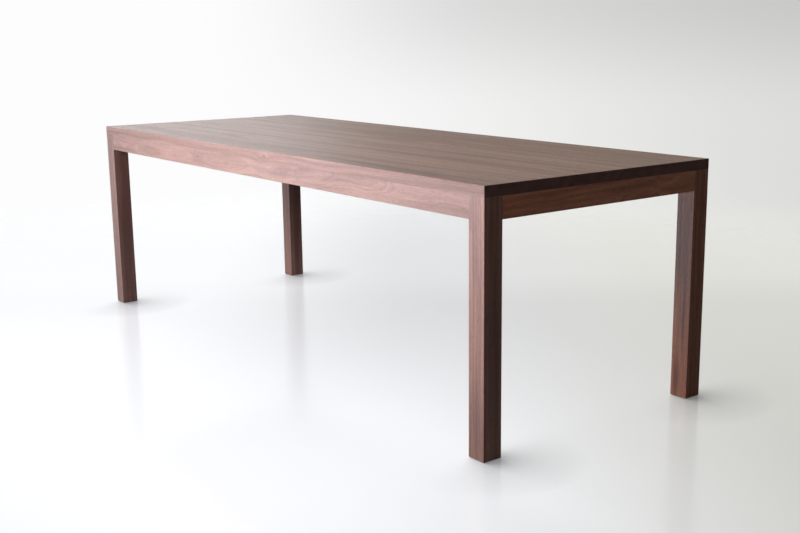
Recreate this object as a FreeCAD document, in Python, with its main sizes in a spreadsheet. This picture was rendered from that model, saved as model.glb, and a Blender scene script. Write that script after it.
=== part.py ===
import FreeCAD, Part
import math
import os
import re
import Sketcher

# Parsons dining table in solid walnut, 96 x 36 x 30 inches, as a parametric document.
#
# Square legs stand flush with the aprons and with the edge of a thick edge-glued top.
# The table comes apart for moving: the aprons' stub tenons drop into slots that are open
# at the head of each leg, and two bolts through a mitred corner block draw the leg's
# inner corner tight. Dovetailed cross rails stiffen the top between the long aprons, and
# steel clips in the aprons' grooves hold the top down while they let it swell and shrink.
#
# Axes: X runs along the table, Y across it, Z up. The origin is on the floor under the
# middle of the top. The front is -Y and the left is -X.

Vector = FreeCAD.Vector
UP = Vector(0, 0, 1)

# Every size that can be set by itself: alias, millimetres, meaning.
SIZES = [
    ("table_length", 2438.4, "overall length"),
    ("table_width", 914.4, "overall width"),
    ("table_height", 762, "floor to the top's upper face"),
    ("top_thickness", 31.75, "thickness of the edge-glued top"),
    ("leg_size", 63.5, "side of the square legs"),
    ("apron_height", 63.5, "height of the four aprons"),
    ("apron_thickness", 25.4, "thickness of the four aprons"),
    ("arris", 1, "rounding of the edges that a hand meets"),
    ("seam_ease", 0.4, "chamfer round the top's lower edge, above the seam"),
    ("foot_chamfer", 1.5, "chamfer round the foot of a leg"),
    ("joint_clearance", 0.15, "room each side of a tenon or a dovetail"),
    ("tenon_length", 22, "how far an apron's stub tenon enters the leg"),
    ("tenon_thickness", 9.5, "thickness of the stub tenon"),
    ("tenon_height", 50.8, "height of the stub tenon, down from the apron's top"),
    ("tenon_setback", 8, "from the apron's outer face to the tenon"),
    ("tenon_end_room", 1, "room beyond the end of a tenon"),
    ("corner_flat", 17, "how far the flat on a leg's inner corner cuts into each face"),
    ("draw_gap", 4, "gap between the flat and the corner block, closed by the bolts"),
    ("block_thickness", 28.6, "thickness of a corner block"),
    ("block_height", 57.15, "height of a corner block"),
    ("bolt_spacing", 30, "height between the two bolts of a leg"),
    ("bolt_diameter", 8, "shank of a leg bolt"),
    ("bolt_past_insert", 2, "how far a bolt reaches past the inner end of its insert"),
    ("bolt_head_flats", 13, "across the flats of the bolt's head"),
    ("bolt_head_height", 5.3, "height of the bolt's head"),
    ("bolt_room", 0.5, "radial room of a bolt in the corner block"),
    ("washer_diameter", 24, "outer diameter of the wide washer"),
    ("washer_thickness", 2, "thickness of the wide washer"),
    ("insert_diameter", 12, "outer diameter of the threaded insert"),
    ("insert_length", 20, "length of the threaded insert"),
    ("thread_room", 0.1, "radial room where a screw, bolt or insert sits in its bore"),
    ("screw_diameter", 4.2, "shank of the wood screws"),
    ("screw_head_diameter", 9, "washer head of the wood screws"),
    ("screw_head_height", 3, "height of the washer head"),
    ("screw_crown_diameter", 5.4, "flat crown of the washer head"),
    ("screw_rim_height", 1, "straight rim of the washer head"),
    ("head_room", 0.8, "radial room round a sunk screw head"),
    ("screw_point", 4, "length of a screw's point"),
    ("point_room", 1.5, "depth of a bore beyond the point of its screw"),
    ("block_screw_spacing", 36, "height between a block's two screws into one apron"),
    ("block_screw_seat", 8, "wood of the block under a screw head"),
    ("block_screw_bite", 14, "how far a block's screw enters the apron"),
    ("top_bite", 19, "how far a screw enters the top"),
    ("rail_spacing", 609.6, "distance between neighbouring cross rails"),
    ("rail_thickness", 22.2, "thickness of a cross rail"),
    ("rail_height", 44.45, "height of a cross rail"),
    ("rail_screw_seat", 16, "wood of the rail above a screw head"),
    ("rail_slot_travel", 5, "how far the top may carry a rail's screw along its slot"),
    ("dovetail_length", 11, "how far a rail's dovetail enters the apron"),
    ("dovetail_neck", 12.7, "width of the dovetail at its shoulder"),
    ("dovetail_end", 17.5, "width of the dovetail at its end"),
    ("groove_drop", 11, "from the apron's top to the upper wall of its clip groove"),
    ("groove_height", 3.2, "width of the clip groove, one saw cut"),
    ("groove_depth", 9.5, "depth of the clip groove"),
    ("clip_thickness", 2, "sheet of a clip"),
    ("clip_width", 16, "width of a clip"),
    ("clip_tongue", 7.5, "how far a clip enters the groove"),
    ("clip_standoff", 1.5, "from the apron to the upright of a clip"),
    ("clip_foot", 21, "length of the clip's foot under the top"),
    ("glide_diameter", 25.4, "diameter of a nylon glide"),
    ("glide_thickness", 5, "thickness of a nylon glide"),
    ("glide_stand", 1, "how far a glide stands out of the foot"),
    ("glide_room", 0.2, "radial room of a glide in its recess"),
    ("glide_ease", 0.8, "chamfer round the face that a glide stands on"),
    ("glide_screw_diameter", 3.5, "shank of a glide's screw"),
    ("glide_screw_head", 7, "countersunk head of a glide's screw"),
    ("glide_screw_cone", 2, "height of the countersunk head"),
    ("glide_screw_depth", 1.5, "how deep the head lies in the glide"),
    ("glide_screw_bite", 14, "how far a glide's screw enters the foot"),
]

BOARD_COUNT = 6

# Middles of the boards that take screws, in board widths from the middle of the top.
SCREWED_BOARDS = (0.5, 1.5)

CLOSE = 0.01  # two lengths in millimetres that differ by less than this are the same
LEAST_LEFT = 0.5  # share of a solid that every cut must leave

# The corners: which way they lie, and the turn that points a corner's own axes inward.
CORNERS = {
    "front_left": ("-", "-", 0),
    "front_right": ("", "-", 90),
    "back_right": ("", "", 180),
    "back_left": ("-", "", 270),
}

# Heights and places that several pieces share, as formulas of the sizes.
HALF_LENGTH = "(table_length / 2)"
HALF_WIDTH = "(table_width / 2)"
FRAME_TOP = "(table_height - top_thickness)"
APRON_BOTTOM = f"({FRAME_TOP} - apron_height)"
BLOCK_BOTTOM = f"({FRAME_TOP} - block_height)"
RAIL_BOTTOM = f"({FRAME_TOP} - rail_height)"
BLOCK_MIDDLE = f"({FRAME_TOP} - block_height / 2)"
LOW_BOLT = f"({BLOCK_MIDDLE} - bolt_spacing / 2)"
LOW_BLOCK_SCREW = f"({BLOCK_MIDDLE} - block_screw_spacing / 2)"
BOARD_WIDTH = f"(table_width / {BOARD_COUNT})"

# Distances from a leg's outer corner along the diagonal that runs inward.
FLAT_AT = "((2 * leg_size - corner_flat) / sqrt(2))"
BLOCK_NEAR = f"({FLAT_AT} + draw_gap)"
BLOCK_FAR = f"({BLOCK_NEAR} + block_thickness)"
HEAD_SEAT = f"({BLOCK_FAR} + washer_thickness)"

# Where a corner block's faces meet the aprons, measured along an apron from the corner.
BLOCK_START = f"({BLOCK_NEAR} * sqrt(2) - apron_thickness)"
BLOCK_REACH = f"({BLOCK_FAR} * sqrt(2) - apron_thickness)"
BLOCK_SCREW_AT = f"(({BLOCK_START} + {BLOCK_REACH}) / 2)"

# Clips, measured inward from an apron's outer face, and along the table.
CLIP_UPRIGHT = "(apron_thickness + clip_standoff)"
CLIP_SCREW_AT = f"({CLIP_UPRIGHT} + (clip_thickness + clip_foot) / 2)"
INNER_CLIP_AT = "(rail_spacing / 2)"
OUTER_CLIP_AT = f"((rail_spacing + {HALF_LENGTH} - {BLOCK_REACH}) / 2)"
END_CLIP_AT = f"({SCREWED_BOARDS[1]} * {BOARD_WIDTH})"

doc = FreeCAD.newDocument("parsons_table")
sheet = doc.addObject("Spreadsheet::Sheet", "sizes")


def fill_sheet():
    """Write each driving size with its meaning and its alias."""
    for row, (alias, size, meaning) in enumerate(SIZES, 1):
        sheet.set(f"A{row}", meaning)
        sheet.set(f"B{row}", str(size))
        sheet.setAlias(f"B{row}", alias)
    doc.recompute()


# ---------------------------------------------------------------- formulas

def formula(text):
    """The same formula with the sheet's name in front of every size."""
    aliases = [alias for alias, size, meaning in SIZES]
    return re.sub(r"[a-z_]+", lambda word: f"sizes.{word[0]}" if word[0] in aliases else word[0], text)


def value(text):
    """What a formula comes to at the present sizes."""
    return float(sheet.evalExpression(formula(text)))


def bind(thing, name, text):
    """Tie one property of an object to a formula."""
    thing.setExpression(name, formula(text))


# ---------------------------------------------------------------- bodies and sketches

def new_body(label):
    """An empty body whose label will name its file."""
    body = doc.addObject("PartDesign::Body", label)
    body.Label = label
    return body


def place(body, x, y, turn):
    """Stand a body at a point of the floor plan, turned about the vertical."""
    body.Placement = FreeCAD.Placement(Vector(), FreeCAD.Rotation(UP, turn))
    bind(body, "Placement.Base.x", x)
    bind(body, "Placement.Base.y", y)


def origin_part(body, role):
    """One of the body's own origin planes or axes."""
    return next(part for part in body.Origin.OriginFeatures if part.Role == role)


def sketch_on(body, name, plane, x="0", y="0", z="0", turn=0):
    """A sketch on an origin plane, moved to x, y, z of the body; turn swings an upright one about Z."""
    sketch = body.newObject("Sketcher::SketchObject", name)
    sketch.AttachmentSupport = [(origin_part(body, plane), "")]
    sketch.MapMode = "FlatFace"
    sketch.AttachmentOffset = FreeCAD.Placement(Vector(), FreeCAD.Rotation(Vector(0, 1, 0), turn))
    shift = {"XY_Plane": (x, y, z), "XZ_Plane": (x, z, f"-({y})"), "YZ_Plane": (y, z, x)}[plane]
    for axis, text in zip("xyz", shift):
        bind(sketch, f"AttachmentOffset.Base.{axis}", text)
    return sketch


def pin(sketch, geometry, point, x, y):
    """Hold one point of the sketch at two formulas."""
    for kind, text in (("DistanceX", x), ("DistanceY", y)):
        number = sketch.addConstraint(Sketcher.Constraint(kind, -1, 1, geometry, point, value(text)))
        bind(sketch, f"Constraints[{number}]", text)


def outline(sketch, points):
    """A closed outline of straight edges through points given as formulas."""
    first = sketch.GeometryCount
    corners = [Vector(value(x), value(y), 0) for x, y in points]
    for start, end in zip(corners, corners[1:] + corners[:1]):
        sketch.addGeometry(Part.LineSegment(start, end))
    for index, (x, y) in enumerate(points):
        following = first + (index + 1) % len(points)
        sketch.addConstraint(Sketcher.Constraint("Coincident", first + index, 2, following, 1))
        pin(sketch, first + index, 1, x, y)


def rectangle(sketch, left, right, low, high):
    """An upright rectangle between four formulas."""
    outline(sketch, [(left, low), (right, low), (right, high), (left, high)])


def circle(sketch, x, y, diameter):
    """A circle about a point given as formulas."""
    ring = sketch.addGeometry(Part.Circle(Vector(value(x), value(y), 0), UP, value(diameter) / 2))
    pin(sketch, ring, 3, x, y)
    number = sketch.addConstraint(Sketcher.Constraint("Diameter", ring, value(diameter)))
    bind(sketch, f"Constraints[{number}]", diameter)


def hexagon(sketch, flats):
    """A hexagon about the sketch's origin, from the distance across its flats."""
    side = f"(({flats}) / sqrt(3))"
    half = f"(({flats}) / 2)"
    outline(sketch, [
        (side, "0"),
        (f"{side} / 2", half),
        (f"-{side} / 2", half),
        (f"-{side}", "0"),
        (f"-{side} / 2", f"-{half}"),
        (f"{side} / 2", f"-{half}"),
    ])


# ---------------------------------------------------------------- features

def pad(body, sketch, length, symmetric=False):
    """Extrude a sketch along its normal, or to both sides of it."""
    feature = body.newObject("PartDesign::Pad", sketch.Name + "_pad")
    feature.Profile = sketch
    feature.SideType = "Symmetric" if symmetric else "One side"
    bind(feature, "Length", length)
    return feature


def pocket(body, sketch, depth, along_normal=False, symmetric=False):
    """Cut a sketch into the solid, against its normal unless told otherwise."""
    feature = body.newObject("PartDesign::Pocket", sketch.Name + "_pocket")
    feature.Profile = sketch
    feature.Reversed = along_normal
    feature.SideType = "Symmetric" if symmetric else "One side"
    bind(feature, "Length", depth)
    return feature


def revolve(body, sketch, axis):
    """Turn a sketch a full circle about its own horizontal or vertical axis."""
    feature = body.newObject("PartDesign::Revolution", sketch.Name + "_turned")
    feature.Profile = sketch
    feature.ReferenceAxis = (sketch, [axis])
    feature.Angle = 360
    return feature


def dress(body, kind, feature, wanted, size, property_name):
    """Round or chamfer the edges of a feature for which wanted(edge) holds."""
    doc.recompute()
    names = [f"Edge{number}" for number, edge in enumerate(feature.Shape.Edges, 1) if wanted(edge)]
    dressed = body.newObject(f"PartDesign::{kind}", f"{feature.Name}_{kind.lower()}")
    dressed.Base = (feature, names)
    bind(dressed, property_name, size)
    return dressed


def fillet(body, feature, wanted, radius):
    return dress(body, "Fillet", feature, wanted, radius, "Radius")


def chamfer(body, feature, wanted, size):
    return dress(body, "Chamfer", feature, wanted, size, "Size")


def mirror(body, features, plane):
    """Repeat features on the other side of an origin plane."""
    feature = body.newObject("PartDesign::Mirrored", features[0].Name + "_mirrored")
    feature.Originals = features
    feature.MirrorPlane = (origin_part(body, plane), [""])
    body.Tip = feature


def repeat(body, features, axis, count, spacing):
    """Repeat features along an origin axis at an even spacing."""
    feature = body.newObject("PartDesign::LinearPattern", features[0].Name + "_row")
    feature.Originals = features
    set_row(body, feature, axis, count, spacing)
    body.Tip = feature


def set_row(body, feature, axis, count, spacing):
    """Fill in a linear pattern's direction, count and spacing."""
    feature.Direction = (origin_part(body, axis), [""])
    feature.Mode = "Spacing"
    feature.Occurrences = count
    bind(feature, "Offset", spacing)


def spread(body, features, rows=(), planes=("YZ_Plane", "XZ_Plane")):
    """Copy features along rows of (axis, count, spacing), then across the mirror planes."""
    steps = []
    for axis, count, spacing in rows:
        step = body.newObject("PartDesign::LinearPattern", body.Name + "_step")
        set_row(body, step, axis, count, spacing)
        steps.append(step)
    for plane in planes:
        step = body.newObject("PartDesign::Mirrored", body.Name + "_step")
        step.MirrorPlane = (origin_part(body, plane), [""])
        steps.append(step)
    feature = body.newObject("PartDesign::MultiTransform", body.Name + "_spread")
    feature.Originals = features
    feature.Transformations = steps
    feature.Refine = False
    body.Tip = feature


def near(a, b):
    return abs(a - b) < CLOSE


def upright(edge):
    """Whether an edge runs straight up."""
    low, high = edge.BoundBox.ZMin, edge.BoundBox.ZMax
    return near(edge.Length, high - low)


# ---------------------------------------------------------------- top

def make_screw_bores():
    """The pilot bores that the clips' and rails' screws need in the top, as one cutting body."""
    body = new_body("top_screw_bores")
    depth = "top_bite + point_room"
    bore = "screw_diameter + 2 * thread_room"

    front = sketch_on(body, "front_clip_bores", "XY_Plane", z=FRAME_TOP)
    for x in (INNER_CLIP_AT, OUTER_CLIP_AT):
        circle(front, x, f"-{HALF_WIDTH} + {CLIP_SCREW_AT}", bore)
    end = sketch_on(body, "end_clip_bores", "XY_Plane", z=FRAME_TOP)
    circle(end, f"{HALF_LENGTH} - {CLIP_SCREW_AT}", f"-{END_CLIP_AT}", bore)
    rail = sketch_on(body, "rail_bores", "XY_Plane", z=FRAME_TOP)
    for x in ("0", "rail_spacing"):
        for boards in SCREWED_BOARDS:
            circle(rail, x, f"-{boards} * {BOARD_WIDTH}", bore)
    spread(body, [pad(body, sketch, depth) for sketch in (front, end, rail)])
    return body


def make_board(number, bores):
    """One board of the top, its outer edges eased, drilled for the screws that reach it."""
    body = new_body(f"board_blank_{number}")
    side = sketch_on(body, f"board_{number}_end", "YZ_Plane")
    front_edge = f"-{HALF_WIDTH} + {number - 1} * {BOARD_WIDTH}"
    back_edge = f"-{HALF_WIDTH} + {number} * {BOARD_WIDTH}"
    rectangle(side, front_edge, back_edge, FRAME_TOP, "table_height")
    plank = pad(body, side, "table_length", symmetric=True)

    def on_rim(edge):
        middle = edge.CenterOfMass
        return near(abs(middle.x), value(HALF_LENGTH)) or near(abs(middle.y), value(HALF_WIDTH))

    def lower(edge):
        return on_rim(edge) and near(edge.BoundBox.ZMax, value(FRAME_TOP))

    def upper(edge):
        middle = edge.CenterOfMass
        corner = near(abs(middle.x), value(HALF_LENGTH)) and near(abs(middle.y), value(HALF_WIDTH))
        return corner or on_rim(edge) and near(edge.BoundBox.ZMin, value("table_height"))

    rounded = fillet(body, plank, upper, "arris")
    chamfer(body, rounded, lower, "seam_ease")

    board = doc.addObject("Part::Cut", f"top_board_{number}")
    board.Base = body
    board.Tool = bores
    board.Refine = True
    board.Label = f"top_board_{number}"
    return board


# ---------------------------------------------------------------- legs

def make_leg(corner):
    """A leg in its corner's axes: outer arris at the origin, x and y pointing inward."""
    body = new_body(f"leg_{corner}")
    stem_plan = sketch_on(body, f"stem_plan_{corner}", "XY_Plane", z="glide_stand")
    rectangle(stem_plan, "0", "leg_size", "0", "leg_size")
    stem = pad(body, stem_plan, f"{APRON_BOTTOM} - glide_stand")
    footed = chamfer(body, stem, lambda edge: near(edge.BoundBox.ZMax, value("glide_stand")), "foot_chamfer")
    fillet(body, footed, upright, "arris")

    # The head keeps sharp seams with the aprons and has the flat that the bolts pull on.
    head_plan = sketch_on(body, f"head_plan_{corner}", "XY_Plane", z=APRON_BOTTOM)
    outline(head_plan, [
        ("arris", "0"),
        ("leg_size", "0"),
        ("leg_size", "leg_size - corner_flat"),
        ("leg_size - corner_flat", "leg_size"),
        ("0", "leg_size"),
        ("0", "arris"),
    ])
    pad(body, head_plan, "apron_height")
    cut_mortises(body, corner)
    cut_insert_bores(body, corner)
    cut_glide_recess(body, corner)
    across, along, turn = CORNERS[corner]
    place(body, f"{across}{HALF_LENGTH}", f"{along}{HALF_WIDTH}", turn)
    return body


def cut_mortises(body, corner):
    """Two slots, open at the leg's head, for the stub tenons of the two aprons."""
    plan = sketch_on(body, f"mortises_{corner}", "XY_Plane", z=FRAME_TOP)
    deep = "leg_size - tenon_length - tenon_end_room"
    near_wall = "tenon_setback - joint_clearance"
    far_wall = "tenon_setback + tenon_thickness + joint_clearance"
    rectangle(plan, deep, "leg_size", near_wall, far_wall)
    rectangle(plan, near_wall, far_wall, deep, "leg_size")
    pocket(body, plan, "tenon_height")


def cut_insert_bores(body, corner):
    """Bores in the flat: wide for the inserts, then narrow for the ends of the bolts."""
    middle = f"{FLAT_AT} / sqrt(2)"
    for name, diameter, depth in (
        ("insert_bore", "insert_diameter + 2 * thread_room", "insert_length"),
        ("bolt_end_bore", "bolt_diameter + 2 * bolt_room", "insert_length + bolt_past_insert + point_room"),
    ):
        face = sketch_on(body, f"{name}_{corner}", "XZ_Plane", middle, middle, LOW_BOLT, turn=135)
        circle(face, "0", "0", diameter)
        circle(face, "0", "bolt_spacing", diameter)
        pocket(body, face, depth)


def cut_glide_recess(body, corner):
    """A recess under the foot for the glide, and a pilot bore for its screw."""
    middle = "leg_size / 2"
    recess = sketch_on(body, f"glide_recess_{corner}", "XY_Plane", z="glide_stand")
    circle(recess, middle, middle, "glide_diameter + 2 * glide_room")
    pocket(body, recess, "glide_thickness - glide_stand", along_normal=True)
    pilot = sketch_on(body, f"glide_pilot_{corner}", "XY_Plane", z="glide_stand")
    circle(pilot, middle, middle, "glide_screw_diameter + 2 * thread_room")
    depth = "glide_thickness - glide_stand + glide_screw_bite + point_room"
    pocket(body, pilot, depth, along_normal=True)


# ---------------------------------------------------------------- aprons

def make_apron(label, clear_length, x, y, turn, holds_rails):
    """An apron in its own axes: x along it, outer face at y = 0, thickness towards +y."""
    body = new_body(f"apron_{label}")
    section = sketch_on(body, f"section_{label}", "YZ_Plane")
    groove_top = f"{FRAME_TOP} - groove_drop"
    groove_bottom = f"{groove_top} - groove_height"
    outline(section, [
        ("arris", APRON_BOTTOM),
        ("apron_thickness - arris", APRON_BOTTOM),
        ("apron_thickness", f"{APRON_BOTTOM} + arris"),
        ("apron_thickness", groove_bottom),
        ("apron_thickness - groove_depth", groove_bottom),
        ("apron_thickness - groove_depth", groove_top),
        ("apron_thickness", groove_top),
        ("apron_thickness", FRAME_TOP),
        ("0", FRAME_TOP),
        ("0", f"{APRON_BOTTOM} + arris"),
    ])
    pad(body, section, clear_length, symmetric=True)

    tenon = sketch_on(body, f"tenon_{label}", "XY_Plane", z=f"{FRAME_TOP} - tenon_height")
    shoulder = f"({clear_length}) / 2"
    rectangle(tenon, shoulder, f"{shoulder} + tenon_length",
              "tenon_setback", "tenon_setback + tenon_thickness")
    mirror(body, [pad(body, tenon, "tenon_height")], "YZ_Plane")
    if holds_rails:
        cut_rail_housings(body, label)
    drill_for_blocks(body, label, clear_length)
    place(body, x, y, turn)
    return body


def cut_rail_housings(body, label):
    """Dovetail housings, open at the apron's top, into which the cross rails drop."""
    plan = sketch_on(body, f"housing_{label}", "XY_Plane", x="-rail_spacing", z=FRAME_TOP)
    dovetail(plan, "apron_thickness", -1, "joint_clearance")
    repeat(body, [pocket(body, plan, "rail_height")], "X_Axis", 3, "rail_spacing")


def dovetail(sketch, shoulder, direction, room):
    """A dovetail in plan: narrow at the shoulder, wide at its end, with room at its sides."""
    end = f"{shoulder} + {direction} * (dovetail_length + {room})"
    neck = f"(dovetail_neck / 2 + {room})"
    wide = f"(dovetail_end / 2 + {room})"
    outline(sketch, [(f"-{neck}", shoulder), (f"-{wide}", end), (wide, end), (neck, shoulder)])


def drill_for_blocks(body, label, clear_length):
    """Pilot bores in the apron's inner face for the screws of the corner blocks."""
    at = f"({clear_length}) / 2 + leg_size - {BLOCK_SCREW_AT}"
    face = sketch_on(body, f"block_bores_{label}", "XZ_Plane", at, "apron_thickness", LOW_BLOCK_SCREW)
    for height in ("0", "block_screw_spacing"):
        circle(face, "0", height, "screw_diameter + 2 * thread_room")
    bores = pocket(body, face, "block_screw_bite + point_room", along_normal=True)
    mirror(body, [bores], "YZ_Plane")


# ---------------------------------------------------------------- corner blocks

def make_corner_block(corner):
    """A block mitred across the corner between two aprons, in its corner's axes."""
    body = new_body(f"corner_block_{corner}")
    plan = sketch_on(body, f"block_plan_{corner}", "XY_Plane", z=BLOCK_BOTTOM)
    outline(plan, [
        (BLOCK_START, "apron_thickness"),
        (BLOCK_REACH, "apron_thickness"),
        ("apron_thickness", BLOCK_REACH),
        ("apron_thickness", BLOCK_START),
    ])
    pad(body, plan, "block_height")

    middle = f"{BLOCK_FAR} / sqrt(2)"
    bolts = sketch_on(body, f"bolt_holes_{corner}", "XZ_Plane", middle, middle, LOW_BOLT, turn=135)
    for height in ("0", "bolt_spacing"):
        circle(bolts, "0", height, "bolt_diameter + 2 * bolt_room")
    pocket(body, bolts, "block_thickness")

    # Screw heads sit on flats bored square to the aprons through the slanting face.
    seat = "apron_thickness + block_screw_seat"
    for plane, x, y, toward_corner in (
        ("XZ_Plane", BLOCK_SCREW_AT, seat, True),
        ("YZ_Plane", seat, BLOCK_SCREW_AT, False),
    ):
        for name, diameter, depth, inward in (
            ("shank", "screw_diameter + 2 * thread_room", "block_screw_seat", True),
            ("head", "screw_head_diameter + 2 * head_room", "block_thickness * sqrt(2)", False),
        ):
            face = sketch_on(body, f"{name}_{plane[:2]}_{corner}", plane, x, y, LOW_BLOCK_SCREW)
            for height in ("0", "block_screw_spacing"):
                circle(face, "0", height, diameter)
            pocket(body, face, depth, along_normal=toward_corner == inward)
    across, along, turn = CORNERS[corner]
    place(body, f"{across}{HALF_LENGTH}", f"{along}{HALF_WIDTH}", turn)
    return body


# ---------------------------------------------------------------- cross rails

def make_cross_rail(label, x):
    """A rail across the table with a dovetail at each end and slots for screws into the top."""
    body = new_body(f"cross_rail_{label}")
    section = sketch_on(body, f"rail_section_{label}", "XZ_Plane")
    side = "(rail_thickness / 2)"
    outline(section, [
        (f"-{side} + arris", RAIL_BOTTOM),
        (f"{side} - arris", RAIL_BOTTOM),
        (side, f"{RAIL_BOTTOM} + arris"),
        (side, FRAME_TOP),
        (f"-{side}", FRAME_TOP),
        (f"-{side}", f"{RAIL_BOTTOM} + arris"),
    ])
    pad(body, section, "table_width - 2 * apron_thickness", symmetric=True)

    plan = sketch_on(body, f"rail_dovetail_{label}", "XY_Plane", z=RAIL_BOTTOM)
    dovetail(plan, f"{HALF_WIDTH} - apron_thickness", 1, "0")
    mirror(body, [pad(body, plan, "rail_height")], "XZ_Plane")

    cuts = []
    for name, diameter, depth in (
        ("slot", "screw_diameter + 2 * thread_room", "rail_height"),
        ("head_slot", "screw_head_diameter + 2 * head_room", "rail_height - rail_screw_seat"),
    ):
        face = sketch_on(body, f"rail_{name}_{label}", "XY_Plane", z=RAIL_BOTTOM)
        for boards in SCREWED_BOARDS:
            slot(face, f"{boards} * {BOARD_WIDTH}", "rail_slot_travel", diameter)
        cuts.append(pocket(body, face, depth, along_normal=True))
    mirror(body, cuts, "XZ_Plane")
    place(body, x, "0", 0)
    return body


def slot(sketch, middle, travel, width):
    """A slot with round ends, centred on the sketch's upright axis at a height, running up it."""
    radius = f"(({width}) / 2)"
    low = f"{middle} - ({travel}) / 2"
    high = f"{middle} + ({travel}) / 2"
    size = value(radius)
    first = sketch.GeometryCount
    for text, start in ((low, math.pi), (high, 0)):
        end_circle = Part.Circle(Vector(0, value(text), 0), UP, size)
        sketch.addGeometry(Part.ArcOfCircle(end_circle, start, start + math.pi))
    for side in (size, -size):
        sketch.addGeometry(Part.LineSegment(Vector(side, value(low), 0), Vector(side, value(high), 0)))
    bottom, top, right, left = range(first, first + 4)
    for arc, arc_point, line, line_point in (
        (bottom, 2, right, 1),
        (bottom, 1, left, 1),
        (top, 1, right, 2),
        (top, 2, left, 2),
    ):
        sketch.addConstraint(Sketcher.Constraint("Tangent", arc, arc_point, line, line_point))
    pin(sketch, bottom, 3, "0", low)
    pin(sketch, top, 3, "0", high)
    number = sketch.addConstraint(Sketcher.Constraint("Radius", bottom, size))
    bind(sketch, f"Constraints[{number}]", radius)


# ---------------------------------------------------------------- fasteners and clips

def screw_outline(sketch, seat, length, lengthwise):
    """Half of a washer-head screw: its head before the seat, its shank and point beyond it."""
    head = "screw_head_diameter / 2"
    shank = "screw_diameter / 2"
    stations = [
        (f"{seat} - screw_head_height", "0"),
        (f"{seat} - screw_head_height", "screw_crown_diameter / 2"),
        (f"{seat} - screw_rim_height", head),
        (seat, head),
        (seat, shank),
        (f"{seat} + {length} - screw_point", shank),
        (f"{seat} + {length}", "0"),
    ]
    outline(sketch, stations if lengthwise else [(radius, along) for along, radius in stations])


def make_block_screws():
    """Two screws from each corner block into each of its aprons."""
    body = new_body("block_screws")
    turned = []
    length = "(block_screw_seat + block_screw_bite)"
    seat = "-(apron_thickness + block_screw_seat)"
    for plane, x, y in (
        ("XZ_Plane", f"{HALF_LENGTH}", f"{HALF_WIDTH} - {BLOCK_SCREW_AT}"),
        ("YZ_Plane", f"{HALF_LENGTH} - {BLOCK_SCREW_AT}", HALF_WIDTH),
    ):
        half = sketch_on(body, f"block_screw_{plane[:2]}", plane, x, y, LOW_BLOCK_SCREW)
        screw_outline(half, seat, length, lengthwise=True)
        turned.append(revolve(body, half, "H_Axis"))
    spread(body, turned, rows=[("Z_Axis", 2, "block_screw_spacing")])
    return body


def make_leg_inserts():
    """Threaded brass inserts in the flats of the legs, two to a leg."""
    body = new_body("leg_inserts")
    half = sketch_on(body, "insert_half", "XZ_Plane", f"-{HALF_LENGTH}", f"-{HALF_WIDTH}", LOW_BOLT, turn=45)
    rectangle(half, f"{FLAT_AT} - insert_length", FLAT_AT,
              "bolt_diameter / 2 + thread_room", "insert_diameter / 2")
    spread(body, [revolve(body, half, "H_Axis")], rows=[("Z_Axis", 2, "bolt_spacing")])
    return body


def make_leg_bolts():
    """Hexagon-head bolts that draw the legs to the corner blocks, two to a leg."""
    body = new_body("leg_bolts")
    half = sketch_on(body, "bolt_half", "XZ_Plane", f"-{HALF_LENGTH}", f"-{HALF_WIDTH}", LOW_BOLT, turn=45)
    rectangle(half, f"{FLAT_AT} - insert_length - bolt_past_insert", HEAD_SEAT, "0", "bolt_diameter / 2")
    shank = revolve(body, half, "H_Axis")
    middle = f"{HEAD_SEAT} / sqrt(2)"
    flats = sketch_on(body, "bolt_head", "XZ_Plane", f"-{HALF_LENGTH} + {middle}",
                      f"-{HALF_WIDTH} + {middle}", LOW_BOLT, turn=135)
    hexagon(flats, "bolt_head_flats")
    head = pad(body, flats, "bolt_head_height")
    spread(body, [shank, head], rows=[("Z_Axis", 2, "bolt_spacing")])
    return body


def make_bolt_washers():
    """Wide washers between the corner blocks and the bolts' heads."""
    body = new_body("bolt_washers")
    half = sketch_on(body, "washer_half", "XZ_Plane", f"-{HALF_LENGTH}", f"-{HALF_WIDTH}", LOW_BOLT, turn=45)
    rectangle(half, BLOCK_FAR, HEAD_SEAT, "bolt_diameter / 2 + bolt_room", "washer_diameter / 2")
    spread(body, [revolve(body, half, "H_Axis")], rows=[("Z_Axis", 2, "bolt_spacing")])
    return body


def make_rail_screws():
    """Screws up through the cross rails' slots into the middle boards of the top."""
    body = new_body("rail_screws")
    turned = []
    for x in ("0", "rail_spacing"):
        for boards in SCREWED_BOARDS:
            half = sketch_on(body, f"rail_screw_{len(turned)}", "XZ_Plane", x, f"-{boards} * {BOARD_WIDTH}")
            screw_outline(half, f"{FRAME_TOP} - rail_screw_seat", "(rail_screw_seat + top_bite)",
                          lengthwise=False)
            turned.append(revolve(body, half, "V_Axis"))
    spread(body, turned)
    return body


def clip_outline(sketch, upright_at, inward):
    """The side of a clip: tongue in the groove, upright, and foot under the top."""
    tongue_top = f"({FRAME_TOP} - groove_drop)"
    points = [
        ("-clip_standoff - clip_tongue", f"{tongue_top} - clip_thickness"),
        ("-clip_standoff - clip_tongue", tongue_top),
        ("0", tongue_top),
        ("0", FRAME_TOP),
        ("clip_foot", FRAME_TOP),
        ("clip_foot", f"{FRAME_TOP} - clip_thickness"),
        ("clip_thickness", f"{FRAME_TOP} - clip_thickness"),
        ("clip_thickness", f"{tongue_top} - clip_thickness"),
    ]
    outline(sketch, [(f"{upright_at} + {inward} * ({along})", height) for along, height in points])


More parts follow.
